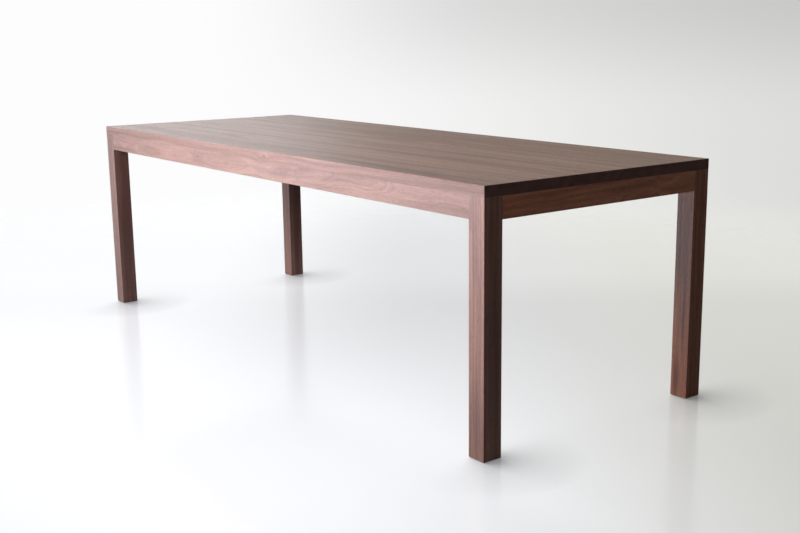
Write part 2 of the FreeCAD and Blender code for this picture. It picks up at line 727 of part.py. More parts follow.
def make_top_clips():
    """Bent steel clips: two in each half of a long apron, one in each half of an end apron."""
    body = new_body("top_clips")
    features = []
    for number, x in enumerate((INNER_CLIP_AT, OUTER_CLIP_AT)):
        side = sketch_on(body, f"long_clip_{number}", "YZ_Plane", x=x)
        clip_outline(side, f"-{HALF_WIDTH} + {CLIP_UPRIGHT}", 1)
        features.append(pad(body, side, "clip_width", symmetric=True))
        features.append(bore_clip(body, f"long_clip_{number}", x, f"-{HALF_WIDTH} + {CLIP_SCREW_AT}"))
    side = sketch_on(body, "end_clip", "XZ_Plane", y=f"-{END_CLIP_AT}")
    clip_outline(side, f"{HALF_LENGTH} - {CLIP_UPRIGHT}", -1)
    features.append(pad(body, side, "clip_width", symmetric=True))
    features.append(bore_clip(body, "end_clip", f"{HALF_LENGTH} - {CLIP_SCREW_AT}", f"-{END_CLIP_AT}"))
    spread(body, features)
    return body


def bore_clip(body, name, x, y):
    """The screw hole through a clip's foot."""
    face = sketch_on(body, f"{name}_hole", "XY_Plane", z=FRAME_TOP)
    circle(face, x, y, "screw_diameter + 2 * thread_room")
    return pocket(body, face, "clip_thickness")


def make_clip_screws():
    """One screw up through each clip into the top."""
    body = new_body("clip_screws")
    turned = []
    places = [
        (INNER_CLIP_AT, f"-{HALF_WIDTH} + {CLIP_SCREW_AT}"),
        (OUTER_CLIP_AT, f"-{HALF_WIDTH} + {CLIP_SCREW_AT}"),
        (f"{HALF_LENGTH} - {CLIP_SCREW_AT}", f"-{END_CLIP_AT}"),
    ]
    for number, (x, y) in enumerate(places):
        half = sketch_on(body, f"clip_screw_{number}", "XZ_Plane", x, y)
        screw_outline(half, f"{FRAME_TOP} - clip_thickness", "(clip_thickness + top_bite)", lengthwise=False)
        turned.append(revolve(body, half, "V_Axis"))
    spread(body, turned)
    return body


# ---------------------------------------------------------------- glides

def make_glide(corner):
    """A round nylon glide let into the foot, with a countersunk hole for its screw."""
    body = new_body(f"glide_{corner}")
    half = sketch_on(body, f"glide_half_{corner}", "XZ_Plane", "leg_size / 2", "leg_size / 2")
    hole = "(glide_screw_diameter / 2 + thread_room)"
    sink = "(glide_screw_head / 2 + thread_room)"
    rim = "(glide_diameter / 2)"
    outline(half, [
        (hole, "glide_screw_depth + glide_screw_cone"),
        (sink, "glide_screw_depth"),
        (sink, "0"),
        (f"{rim} - glide_ease", "0"),
        (rim, "glide_ease"),
        (rim, "glide_thickness"),
        (hole, "glide_thickness"),
    ])
    revolve(body, half, "V_Axis")
    across, along, turn = CORNERS[corner]
    place(body, f"{across}{HALF_LENGTH}", f"{along}{HALF_WIDTH}", turn)
    return body


def make_glide_screws():
    """A countersunk screw up through each glide into the end grain of the leg."""
    body = new_body("glide_screws")
    half = sketch_on(body, "glide_screw_half", "XZ_Plane", f"-{HALF_LENGTH} + leg_size / 2",
                     f"-{HALF_WIDTH} + leg_size / 2")
    tip = "(glide_thickness + glide_screw_bite)"
    shank = "glide_screw_diameter / 2"
    outline(half, [
        ("0", "glide_screw_depth"),
        ("glide_screw_head / 2", "glide_screw_depth"),
        (shank, "glide_screw_depth + glide_screw_cone"),
        (shank, f"{tip} - screw_point"),
        ("0", tip),
    ])
    spread(body, [revolve(body, half, "V_Axis")])
    return body


# ---------------------------------------------------------------- assembly and files

def make_pieces():
    """Every piece of the table, in the order in which it is put together."""
    clear_length = "table_length - 2 * leg_size"
    clear_width = "table_width - 2 * leg_size"
    pieces = [make_leg(corner) for corner in CORNERS]
    pieces.append(make_apron("front", clear_length, "0", f"-{HALF_WIDTH}", 0, holds_rails=True))
    pieces.append(make_apron("back", clear_length, "0", HALF_WIDTH, 180, holds_rails=True))
    pieces.append(make_apron("left", clear_width, f"-{HALF_LENGTH}", "0", 270, holds_rails=False))
    pieces.append(make_apron("right", clear_width, HALF_LENGTH, "0", 90, holds_rails=False))
    pieces.extend(make_corner_block(corner) for corner in CORNERS)
    pieces.extend([make_leg_inserts(), make_leg_bolts(), make_bolt_washers(), make_block_screws()])
    for label, x in (("left", "-rail_spacing"), ("middle", "0"), ("right", "rail_spacing")):
        pieces.append(make_cross_rail(label, x))
    bores = make_screw_bores()
    pieces.extend(make_board(number, bores) for number in range(1, BOARD_COUNT + 1))
    pieces.extend([make_rail_screws(), make_top_clips(), make_clip_screws()])
    pieces.extend(make_glide(corner) for corner in CORNERS)
    pieces.append(make_glide_screws())
    return pieces


def check(pieces):
    """Stop if an object failed, a cut removed nothing, or a piece is not a sound solid."""
    for item in doc.Objects:
        if {"Invalid", "Error"} & set(item.State):
            raise RuntimeError(f"{item.Name} failed: {item.State}")
        if item.TypeId in ("PartDesign::Pocket", "PartDesign::Fillet", "PartDesign::Chamfer"):
            left = item.Shape.Volume / item.BaseFeature.Shape.Volume
            if not LEAST_LEFT < left < 1:
                raise RuntimeError(f"{item.Name} leaves {left} of the solid it cuts")
    for piece in pieces:
        if piece.Shape.isNull() or not piece.Shape.isValid() or not piece.Shape.Solids:
            raise RuntimeError(f"{piece.Label} is not a sound solid")


def main():
    fill_sheet()
    pieces = make_pieces()
    doc.recompute()
    check(pieces)
    os.makedirs("parts", exist_ok=True)
    for piece in pieces:
        piece.Shape.exportStep(f"parts/{piece.Label}.step")
        print(piece.Label, len(piece.Shape.Solids), "solids", round(piece.Shape.Volume), "mm3")


main()
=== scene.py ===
import math
from functools import cache

import bmesh
import bpy
from bpy.props import FloatProperty, FloatVectorProperty, IntProperty, PointerProperty
from mathutils import Matrix, Vector


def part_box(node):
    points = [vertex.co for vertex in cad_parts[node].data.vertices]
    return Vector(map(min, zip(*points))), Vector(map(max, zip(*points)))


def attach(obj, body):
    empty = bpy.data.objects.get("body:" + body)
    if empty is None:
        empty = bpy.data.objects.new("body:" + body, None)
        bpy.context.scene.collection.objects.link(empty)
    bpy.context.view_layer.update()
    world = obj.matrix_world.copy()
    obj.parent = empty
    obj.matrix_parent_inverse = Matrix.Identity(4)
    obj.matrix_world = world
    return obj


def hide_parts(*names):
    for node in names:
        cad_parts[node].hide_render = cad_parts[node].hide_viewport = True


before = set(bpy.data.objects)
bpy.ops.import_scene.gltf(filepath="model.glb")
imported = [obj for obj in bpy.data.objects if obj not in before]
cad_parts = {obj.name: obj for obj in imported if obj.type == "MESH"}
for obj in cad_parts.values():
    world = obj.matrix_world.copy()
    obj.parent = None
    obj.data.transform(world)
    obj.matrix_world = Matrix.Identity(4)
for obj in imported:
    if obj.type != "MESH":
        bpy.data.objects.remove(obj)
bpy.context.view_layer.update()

bl_info = {
    "name": "Walnut dining table",
    "version": (1, 0, 0),
    "blender": (4, 5, 0),
    "location": "3D View > Sidebar > Table",
    "description": "Finishes a solid walnut dining table and makes its screws, bolts, washers and inserts",
    "category": "Object",
}

MM = 0.001
BODY = "root"


# ---------------------------------------------------------------- settings that a user would change

MOST_POWER = 5000


def a_colour(name, description, default):
    """A colour that a user can pick."""
    return FloatVectorProperty(name=name, description=description, subtype="COLOR", size=3, min=0, max=1,
                               default=default)


def a_length(name, description, default, least, most):
    """A length that a user can set. Its values are in millimetres."""
    return FloatProperty(name=name, description=description, subtype="DISTANCE", unit="LENGTH",
                         min=least * MM, max=most * MM, default=default * MM)


def a_strength(name, description, default, most):
    """A strength that a user can set, from nothing up."""
    return FloatProperty(name=name, description=description, min=0, max=most, default=default)


def a_power(name, description, default):
    """A lamp's power that a user can set."""
    return FloatProperty(name=name, description=description, unit="POWER", min=0, max=MOST_POWER,
                         default=default)


class WoodSettings(bpy.types.PropertyGroup):
    """Colours and finish of the wood."""
    heartwood: a_colour("Heartwood", "Main colour of the walnut", (0.31, 0.142, 0.102))
    pale_wood: a_colour("Pale wood", "Colour of the early growth between the dark lines",
                        (0.43, 0.226, 0.172))
    dark_streak_and_painted_shade: a_colour("Dark streak and painted shade", "Colour of the dark bands in the heartwood", (0.145, 0.064, 0.052))
    pore: a_colour("Pore", "Colour inside the open pores", (0.060, 0.026, 0.020))
    maple: a_colour("Maple", "Colour of the corner blocks", (0.62, 0.44, 0.27))
    oil_roughness: a_strength("Oil roughness", "How matt the oiled surface is", 0.45, 1)
    ring_width: a_length("Ring width", "Growth of the tree in one year", 3.4, 0.5, 12)
    # The paler line along the edges is a painted highlight.
    edge_highlight_width: a_length("Edge highlight width", "Width of the paler line rubbed along the edges", 1.6, 0, 10)


class HardwareSettings(bpy.types.PropertyGroup):
    """Sizes and colours of the screws, bolts, washers, inserts, clips and glides."""
    screw_width: a_length("Screw width", "Outer diameter of a wood screw's thread", 4.2, 1, 4.2)
    screw_pitch: a_length("Screw pitch", "Rise of a wood screw's thread in one turn", 1.9, 1, 5)
    screw_head: a_length("Screw head", "Diameter of the wood screws' heads", 9, 4, 9)
    bolt_width: a_length("Bolt width", "Outer diameter of a leg bolt's thread", 8, 4, 8)
    bolt_pitch: a_length("Bolt pitch", "Rise of a leg bolt's thread in one turn", 1.25, 0.5, 3)
    thread_sides: IntProperty(name="Thread sides", description="Facets round a thread",
                              min=8, max=48, default=18)
    steel: a_colour("Steel", "Colour of the zinc-plated steel", (0.58, 0.58, 0.57))
    brass: a_colour("Brass", "Colour of the inserts", (0.72, 0.52, 0.24))
    nylon: a_colour("Nylon", "Colour of the glides", (0.055, 0.050, 0.048))


class StageSettings(bpy.types.PropertyGroup):
    """Floor, background and lamps."""
    floor: a_colour("Floor", "Colour of the floor", (0.33, 0.33, 0.335))
    bright_background: a_colour("Bright background", "Background on the window's side", (0.98, 0.98, 0.985))
    dim_background: a_colour("Dim background", "Background away from the window", (0.70, 0.705, 0.68))
    window_power: a_power("Window power", "Power of the large soft lamp", 32)
    room_light: a_strength("Room light", "Light that comes evenly from all round", 0.052, 2)
    daylight: a_strength("Daylight", "Soft even light from the left", 1.0, 10)
    sheen: a_strength("Sheen", "Far light that only shines on polished faces", 0.65, 10)
    left_sheen: a_strength("Left sheen", "Far light from the left that only shines on polished faces",
                           1.6, 10)
    floor_sheen: a_strength("Floor sheen", "Far light in which the polished floor mirrors the legs", 0.85, 10)
    card_power: a_power("Card power", "Power of the white card that only shines on polished faces", 96)
    wall_power: a_power("Wall power", "Power of the pale wall behind the table", 40)


# ---------------------------------------------------------------- filling node trees

NUMBER = "NodeSocketFloat"
WHOLE = "NodeSocketInt"
VECTOR = "NodeSocketVector"
COLOUR = "NodeSocketColor"
GEOMETRY = "NodeSocketGeometry"
STUFF = "NodeSocketMaterial"
# The kind of socket for each sort of default: one number, a whole number, or a tuple by its length.
SOCKETS = {float: NUMBER, int: WHOLE, 3: VECTOR, 4: COLOUR}
LOOK = {"Colour": COLOUR, "Roughness": NUMBER, "Height": NUMBER}


class Field:
    """A value that a node puts out, so that node trees can be written as ordinary sums."""

    def __init__(self, socket):
        self.socket = socket
        self.tree = socket.id_data

    def apply(self, operation, *others):
        """The result of one operation on this value and others."""
        if self.socket.type in ("VECTOR", "RGBA"):
            kind = "ShaderNodeVectorMath"
            others = [other if isinstance(other, (Field, tuple)) else (other,) * 3 for other in others]
            output = "Value" if operation in ("DOT_PRODUCT", "LENGTH") else "Vector"
        else:
            kind, output = "ShaderNodeMath", "Value"
        return put(self.tree, kind, enumerate((self, *others)), output, operation=operation)

    def __add__(self, other):
        return self.apply("ADD", other)

    def __sub__(self, other):
        return self.apply("SUBTRACT", other)

    def __rsub__(self, other):
        return -self + other

    def __mul__(self, other):
        return self.apply("MULTIPLY", other)

    def __truediv__(self, other):
        return self.apply("DIVIDE", other)

    def __rtruediv__(self, other):
        return put(self.tree, "ShaderNodeMath", {0: other, 1: self}, operation="DIVIDE")

    def __pow__(self, other):
        return self.apply("POWER", other)

    def __neg__(self):
        return self * -1.0

    def __abs__(self):
        return self.apply("ABSOLUTE")


def fill(node, inputs):
    """Sets or links a node's inputs, each by its name or number."""
    for name, given in dict(inputs).items():
        if isinstance(given, Field):
            node.id_data.links.new(given.socket, node.inputs[name])
        else:
            node.inputs[name].default_value = given


def add_node(tree, kind, inputs=(), **settings):
    """A new node with its settings applied and its inputs filled."""
    node = tree.nodes.new(kind)
    for name, setting in settings.items():
        setattr(node, name, setting)
    fill(node, inputs)
    return node


def put(tree, kind, inputs=(), output=0, **settings):
    """What a new node puts out at one of its outputs."""
    return Field(add_node(tree, kind, inputs, **settings).outputs[output])


def results(node):
    """All that a node puts out, by name."""
    return {socket.name: Field(socket) for socket in node.outputs}


def tree_of(*values):
    """The tree that a mix of fields and constants belongs to."""
    return next(value.tree for value in values if isinstance(value, Field))


def between(number, low, high):
    """0 at low, 1 at high and a smooth rise between them."""
    inputs = {"Value": number, "From Min": low, "From Max": high}
    return put(number.tree, "ShaderNodeMapRange", inputs, interpolation_type="SMOOTHSTEP")


def join_up(x, y, z):
    """A vector from three numbers."""
    return put(tree_of(x, y, z), "ShaderNodeCombineXYZ", {"X": x, "Y": y, "Z": z})


def pull_apart(vector):
    """The three numbers of a vector."""
    return list(results(add_node(vector.tree, "ShaderNodeSeparateXYZ", {"Vector": vector})).values())


def speckle(vector, stretch, detail=2.0, colour=False):
    """Noise over a vector that is first stretched along its axes."""
    inputs = {"Vector": vector * stretch, "Scale": 1.0, "Detail": detail}
    return put(vector.tree, "ShaderNodeTexNoise", inputs, "Color" if colour else "Fac")


def tint(share, under, over, way="MIX"):
    """One colour laid over another."""
    inputs = {0: share, 6: under, 7: over}
    return put(tree_of(share, under, over), "ShaderNodeMix", inputs, 2, data_type="RGBA", blend_type=way)


def shaded(colour, number):
    """A colour made darker or lighter."""
    return tint(1.0, colour, join_up(number, number, number), "MULTIPLY")


def start_group(name, kind, takes, gives):
    """An empty node group, and what its inputs bring in.

    takes holds a default for each input, or the kind of an input that has none; gives holds each output's kind.
    """
    group = bpy.data.node_groups.new(name, kind)
    for socket, default in takes.items():
        if isinstance(default, str):
            group.interface.new_socket(name=socket, in_out="INPUT", socket_type=default)
            continue
        sort = len(default) if isinstance(default, tuple) else type(default)
        made = group.interface.new_socket(name=socket, in_out="INPUT", socket_type=SOCKETS[sort])
        made.default_value = default
    for socket, socket_kind in gives.items():
        group.interface.new_socket(name=socket, in_out="OUTPUT", socket_type=socket_kind)
    return group, results(group.nodes.new("NodeGroupInput"))


def finish_group(group, made):
    """Links each result to the group's output of that name."""
    fill(group.nodes.new("NodeGroupOutput"), made)
    return group


def use_group(tree, group, inputs):
    """What a group puts out in a tree, by name."""
    kind = group.bl_idname.replace("Tree", "Group")
    return results(add_node(tree, kind, inputs, node_tree=group))


# ---------------------------------------------------------------- shader groups

@cache
def painted_edge_highlight():
    """A mask that is 1 along the edges of a piece that is a box, uneven along them, where a highlight is
    painted.
    """
    group, given = start_group("Painted edge highlight", "ShaderNodeTree", {
        "Place": (0, 0, 0), "Middle": (0, 0, 0), "Half size": (1, 1, 1), "Width": 1.5 * MM,
    }, {"Mask": NUMBER})
    x, y, z = pull_apart(given["Half size"] - abs(given["Place"] - given["Middle"]))
    nearest = x.apply("MINIMUM", y)
    second_nearest = x.apply("MAXIMUM", y).apply("MINIMUM", z).apply("MAXIMUM", nearest)
    reach = given["Width"] * (speckle(given["Place"], (60, 60, 60)) + 0.6)
    return finish_group(group, {"Mask": between(second_nearest, reach, 0.0)})


@cache
def dark_streak_and_painted_shade():
    """A soft mask of a long spot inside the wood: a dark streak, or painted shade where it covers a face or the
    lower part of a leg.
    """
    group, given = start_group("Dark streak and painted shade", "ShaderNodeTree", {
        "Place": (0, 0, 0), "Middle": (0, 0, 0), "Size": (1, 1, 1), "Strength": 1.0,
    }, {"Mask": NUMBER})
    bend = (speckle(given["Place"], (2.2, 9, 9), colour=True) - 0.5) * (0, 22 * MM, 22 * MM)
    far = ((given["Place"] + bend - given["Middle"]) / given["Size"]).apply("LENGTH")
    return finish_group(group, {"Mask": between(far, 1.0, 0.0) * given["Strength"]})


@cache
def knot():
    """A branch that crosses the wood along Y: how far it pushes the rings aside, and its dark core."""
    group, given = start_group("Knot", "ShaderNodeTree", {
        "Place": (0, 0, 0), "Middle": (0, 0, 0), "Size": 10 * MM, "Darkness": 1.0,
    }, {"Push": NUMBER, "Core": NUMBER})
    flat = (given["Place"] - given["Middle"]) * (0.55, 0, 1)
    far = flat.apply("LENGTH") / given["Size"]
    uneven = speckle(given["Place"], (70, 20, 120)) * 0.9 + 0.55
    push = (far ** 2.0 * -0.22).apply("EXPONENT") * (given["Size"] * 1.6)
    core = between(far * uneven, 1.0, 0.25) * given["Darkness"]
    return finish_group(group, {"Push": push, "Core": core})


# How strongly each part of the figure colours the wood.
PIGMENT_SHARE = 0.38
LATE_WOOD_SHARE = 0.46
DARKEST_SHARE = 0.94
PORE_SHARE = 0.38
END_GRAIN_SHARE = 0.62
# How strongly the painted highlight lightens the edges.
EDGE_HIGHLIGHT_SHARE = 0.16
THREAD_CONTRAST = 0.66
FIBRE_CONTRAST = 0.42


@cache
def hardwood():
    """Solid wood with rings round the heart of the tree, fibres, streaks and pores, its grain along X."""
    group, given = start_group("Hardwood", "ShaderNodeTree", {
        "Place": (0, 0, 0), "Grain direction": (1, 0, 0), "Heart of the tree": (0, 0.1, 0.1),
        "Lean": (0, 0, 0), "Ring width": 3.5 * MM, "Waviness": 8 * MM, "Wave length": 0.5, "Seed": 0.0,
        "Streak and painted shade": 0.0, "Knot push": 0.0, "Knot core": 0.0, "Edge": 0.0, "Tone": 1.0, "Warmth": 0.0,
        "Contrast": 1.0, "Pore depth": 1.0, "Heartwood": (0.3, 0.16, 0.12, 1),
        "Pale wood": (0.4, 0.25, 0.2, 1), "Dark wood": (0.15, 0.08, 0.07, 1), "Pore": (0.07, 0.03, 0.02, 1),
        "Roughness": 0.42,
    }, LOOK)
    place, seed, waviness = given["Place"], given["Seed"], given["Waviness"]
    shift = join_up(seed * 3.17, seed * 1.31, seed * 2.23)
    shifted = place + shift

    # The fibres wander slowly along the piece and ripple a little.
    slow = speckle(shifted, join_up(1.0 / given["Wave length"], 5.0, 5.0), 1.0, colour=True) - 0.5
    quick = speckle(shifted, (11, 38, 38), colour=True) - 0.5
    wander = join_up(0.0, waviness * 4.0, waviness * 4.0)
    ripple = join_up(0.0, waviness * 0.34, waviness * 0.34)
    warped = place + (slow * wander + quick * ripple)
    fibre_place = warped + shift

    # Rings round the heart of the tree, which leans as it goes along.
    along = pull_apart(place)[0]
    heart = given["Heart of the tree"] + given["Lean"] * join_up(0.0, along, along)
    radius = ((warped - heart) * (0, 1, 1)).apply("LENGTH") + given["Knot push"]
    years = radius / given["Ring width"]
    year_place = join_up(years, seed, along * 0.6)
    broad = speckle(year_place, (0.33, 1.7, 1))
    year = (broad * 2.4 + years).apply("FRACT")
    strong_year = between(speckle(year_place, (0.9, 3.1, 1), 0.0), 0.3, 0.65)
    late = year ** 3.0 * between(year, 1.0, 0.90) * strong_year

    # Streaks, fibres and pores along the grain.
    pigment = between(speckle(fibre_place, (0.8, 24, 24), 3.0), 0.50, 0.74)
    threads = speckle(fibre_place, (3.4, 85, 85), 3.0) - 0.5
    fibres = speckle(fibre_place, (7, 520, 520), 1.0)
    pores = between(speckle(fibre_place, (48, 1500, 1500), 0.0), 0.60, 0.72) * given["Pore depth"]

    colour = tint(between(broad, 0.30, 0.68), given["Heartwood"], given["Pale wood"])
    dark = (pigment * PIGMENT_SHARE + late * LATE_WOOD_SHARE) * given["Contrast"] + given["Streak and painted shade"]
    colour = tint(dark.apply("MINIMUM", DARKEST_SHARE), colour, given["Dark wood"])
    grey = (threads * THREAD_CONTRAST + (fibres - 0.5) * FIBRE_CONTRAST + 1.0) * given["Tone"]
    warm = grey * (given["Warmth"] + 1.0)
    cool = grey * (1.0 - given["Warmth"])
    colour = tint(1.0, colour, join_up(warm, grey, cool), "MULTIPLY")
    colour = tint(pores * PORE_SHARE, colour, given["Pore"])
    colour = tint(given["Knot core"], colour, given["Pore"])

    # End grain drinks more oil and turns darker; the edges turn paler with a painted highlight.
    facing = put(group, "ShaderNodeNewGeometry", output="Normal")
    end = between(abs(facing.apply("DOT_PRODUCT", given["Grain direction"])), 0.45, 0.85)
    colour = tint(end * END_GRAIN_SHARE, colour, given["Dark wood"])
    colour = tint(given["Edge"] * EDGE_HIGHLIGHT_SHARE, colour, given["Pale wood"])

    rough = given["Roughness"] + pores * 0.12 + end * 0.12 + threads * 0.14
    height = fibres * 0.35 - pores * 0.8 + late * 0.2
    return finish_group(group, {"Colour": colour, "Roughness": rough, "Height": height})


@cache
def worked_metal():
    """Plated or turned metal: fine crystals, faint scratches and dull patches."""
    group, given = start_group("Worked metal", "ShaderNodeTree", {
        "Place": (0, 0, 0), "Metal": (0.6, 0.6, 0.6, 1), "Dull": (0.3, 0.3, 0.3, 1), "Dullness": 0.4,
        "Roughness": 0.3,
    }, LOOK)
    place = given["Place"]
    crystals = put(group, "ShaderNodeTexVoronoi", {"Vector": place, "Scale": 1400.0}, "Color")
    crystals = crystals.apply("DOT_PRODUCT", (0.33, 0.33, 0.33))
    patches = between(speckle(place, (170, 170, 170), 3.0), 0.42, 0.68)
    scratches = speckle(place, (300, 300, 4200), 1.0)
    colour = tint(patches * given["Dullness"], given["Metal"], given["Dull"])
    return finish_group(group, {
        "Colour": shaded(colour, crystals * 0.16 + 0.90),
        "Roughness": given["Roughness"] + patches * 0.22 + crystals * 0.08,
        "Height": scratches + crystals * 0.3,
    })


@cache
def moulded_plastic():
    """Moulded plastic with a fine satin texture and dust in it."""
    group, given = start_group("Moulded plastic", "ShaderNodeTree", {
        "Place": (0, 0, 0), "Plastic": (0.05, 0.05, 0.05, 1), "Dust": (0.3, 0.28, 0.26, 1),
        "Roughness": 0.5,
    }, LOOK)
    dust = between(speckle(given["Place"], (140, 140, 140), 4.0), 0.45, 0.8)
    return finish_group(group, {
        "Colour": tint(dust * 0.22, given["Plastic"], given["Dust"]),
        "Roughness": given["Roughness"] + dust * 0.25,
        "Height": speckle(given["Place"], (1600, 1600, 1600)),
    })


# ---------------------------------------------------------------- materials

def opaque(colour):
    """A colour property with full alpha."""
    return (*colour, 1.0)


def in_metres(millimetres):
    """Three lengths in millimetres as a vector in metres."""
    return tuple(MM * length for length in millimetres)


def start_material(name):
    """A material, its tree and its surface shader, and where each spot of the surface is."""
    material = bpy.data.materials.new(name)
    material.use_nodes = True
    tree = material.node_tree
    tree.nodes.clear()
    skin = tree.nodes.new("ShaderNodeBsdfPrincipled")
    fill(tree.nodes.new("ShaderNodeOutputMaterial"), {"Surface": Field(skin.outputs[0])})
    return material, tree, skin, put(tree, "ShaderNodeTexCoord", output="Object")


def lay_on(skin, made, relief):
    """Gives the surface shader a group's colour and roughness, and its height as relief."""
    bump = {"Height": made["Height"], "Strength": 0.6, "Distance": relief}
    fill(skin, {
        "Base Color": made["Colour"], "Roughness": made["Roughness"],
        "Normal": put(skin.id_data, "ShaderNodeBump", bump),
    })


# How a piece's own axes, with the grain along X, are turned to the table's axes.
GRAIN_TURNS = {"x": (0, 0, 0), "y": (0, 0, math.pi / 2), "z": (0, -math.pi / 2, 0)}
GRAIN_LINES = {"x": (1, 0, 0), "y": (0, 1, 0), "z": (0, 0, 1)}
WOOD_RELIEF = 0.25 * MM
METAL_RELIEF = 0.03 * MM
PLASTIC_RELIEF = 0.05 * MM


def make_wood(node, grain, heart, lean=(0, 0, 0), tone=1.0, warmth=0.0, waviness=8.0, wave_length=0.5,
              seed=0.0, contrast=1.0, ring=1.0, streaks_and_painted_shade=(), knots=(), maple=False):
    """Wood for one piece. Places and sizes are in millimetres in the piece's own axes, grain along X."""
    wood = bpy.context.scene.table_wood
    material, tree, skin, spot = start_material("wood_" + node)
    low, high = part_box(node)
    middle = tuple((low + high) / 2)
    mapping = put(tree, "ShaderNodeMapping", {
        "Vector": spot, "Location": middle, "Rotation": GRAIN_TURNS[grain],
    }, vector_type="TEXTURE")

    # Dark streaks of the figure, and spots of painted shade.
    streak_and_painted_shade = 0.0
    for place, size, strength in streaks_and_painted_shade:
        streak_and_painted_shade = use_group(tree, dark_streak_and_painted_shade(), {
            "Place": mapping, "Middle": in_metres(place), "Size": in_metres(size), "Strength": strength,
        })["Mask"] + streak_and_painted_shade
    push = core = 0.0
    for place, size, darkness in knots:
        made = use_group(tree, knot(), {
            "Place": mapping, "Middle": in_metres(place), "Size": MM * size, "Darkness": darkness,
        })
        push = made["Push"] + push
        core = made["Core"].apply("MAXIMUM", core)
    # A painted highlight along the edges of each piece.
    edge = use_group(tree, painted_edge_highlight(), {
        "Place": spot, "Middle": middle, "Half size": tuple((high - low) / 2), "Width": wood.edge_highlight_width,
    })["Mask"]
    if maple:
        colours = [wood.maple, Vector(wood.maple) * 1.12, Vector(wood.maple) * 0.72, Vector(wood.maple) * 0.5]
    else:
        colours = [wood.heartwood, wood.pale_wood, wood.dark_streak_and_painted_shade, wood.pore]
    heartwood, pale, dark, pore = (opaque(colour) for colour in colours)
    made = use_group(tree, hardwood(), {
        "Place": mapping, "Grain direction": GRAIN_LINES[grain], "Heart of the tree": in_metres(heart),
        "Lean": lean, "Ring width": wood.ring_width * ring, "Waviness": MM * waviness,
        "Wave length": wave_length, "Seed": seed, "Streak and painted shade": streak_and_painted_shade, "Knot push": push, "Knot core": core,
        "Edge": edge, "Tone": tone, "Warmth": warmth, "Contrast": contrast,
        "Pore depth": 0.25 if maple else 1.0, "Heartwood": heartwood, "Pale wood": pale,
        "Dark wood": dark, "Pore": pore, "Roughness": wood.oil_roughness,
    })
    lay_on(skin, made, WOOD_RELIEF)
    return material


def make_metal(name, colour, dull_share, roughness, dullness=0.4):
    """A metal finish whose dull patches have a share of its colour."""
    material, tree, skin, spot = start_material(name)
    made = use_group(tree, worked_metal(), {
        "Place": spot, "Metal": opaque(colour), "Dull": opaque(Vector(colour) * dull_share),
        "Dullness": dullness, "Roughness": roughness,
    })
    lay_on(skin, made, METAL_RELIEF)
    fill(skin, {"Metallic": 1.0})
    return material


def make_plastic(name, colour):
    """A moulded plastic finish."""
    material, tree, skin, spot = start_material(name)
    made = use_group(tree, moulded_plastic(), {
        "Place": spot, "Plastic": opaque(colour), "Dust": (0.30, 0.28, 0.26, 1.0), "Roughness": 0.46,
    })
    lay_on(skin, made, PLASTIC_RELIEF)
    return material


def coat(node, material):
    """Gives a CAD piece its finish."""
    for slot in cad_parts[node].material_slots:
        slot.material = material


# ---------------------------------------------------------------- wood pieces

# The figure of each piece: heart of the tree, dark streaks as (middle, size, strength) and knots as
# (middle, size, darkness), in millimetres from the piece's middle with the grain along X. A few broad streaks
# are painted shade.
BOARDS = {
    "top_board_1": dict(
        heart=(0, 20, -95), seed=1.3, waviness=9, wave_length=0.55,
        streaks_and_painted_shade=[((0, 47, 0), (900, 16, 60), 0.4), ((760, -34, 16), (620, 50, 8), 0.85),
                 ((-200, -20, 16), (800, 50, 8), 0.4)],
        knots=[((96, -76, -2), 9, 0.55)]),
    "top_board_2": dict(
        heart=(0, -30, -120), seed=2.9, tone=1.1, waviness=7, wave_length=0.8,
        streaks_and_painted_shade=[((0, -38, 0), (1800, 24, 60), 0.45)]),
    "top_board_3": dict(
        heart=(0, 12, 130), seed=4.1, tone=1.15, wave_length=0.6,
        streaks_and_painted_shade=[((0, 52, 0), (1700, 18, 60), 0.4)]),
    "top_board_4": dict(
        heart=(0, 44, -105), seed=5.7, tone=1.3, wave_length=0.7,
        streaks_and_painted_shade=[((600, -60, 0), (900, 12, 60), 0.3)]),
    "top_board_5": dict(
        heart=(0, -18, -90), seed=7.2, tone=1.25, waviness=10, wave_length=0.6,
        streaks_and_painted_shade=[((0, -26, 0), (1700, 18, 60), 0.35)]),
    "top_board_6": dict(
        heart=(0, 25, 110), seed=8.8, tone=1.2, wave_length=0.9, streaks_and_painted_shade=[((0, 2, 0), (1500, 20, 60), 0.35)]),
}
LEGS = {
    "leg_front_right": dict(
        heart=(0, 160, 230), seed=11.2, tone=1.32, waviness=3, ring=0.8, contrast=1.3,
        # The broad spot low on the front face and the spot over the +X face are painted shade.
        streaks_and_painted_shade=[((60, -32, 12), (420, 16, 6), 0.45), ((-260, -32, 0), (190, 18, 60), 0.45),
                 ((320, -32, 24), (70, 18, 12), 0.5), ((-100, 4, -32), (480, 50, 8), 0.45)]),
    "leg_back_right": dict(
        heart=(0, 210, -120), seed=12.6, tone=1.27, warmth=0.25, waviness=5, wave_length=0.45, ring=0.9,
        streaks_and_painted_shade=[((170, -32, 14), (240, 14, 9), 1.0), ((-90, -32, -10), (220, 14, 9), 0.9),
                 ((-300, -32, 10), (120, 14, 20), 0.7)]),
    "leg_front_left": dict(
        heart=(0, -190, 170), seed=13.9, tone=0.9, waviness=3, ring=0.85,
        # This spot darkens the whole +X face: painted shade.
        streaks_and_painted_shade=[((0, 8, -32), (900, 62, 10), 1.1)]),
    "leg_back_left": dict(
        heart=(0, 150, 240), seed=15.1, tone=1.3, waviness=4, ring=0.85,
        # This spot darkens the whole +X face: painted shade.
        streaks_and_painted_shade=[((0, 8, -32), (900, 62, 10), 0.8)]),
}
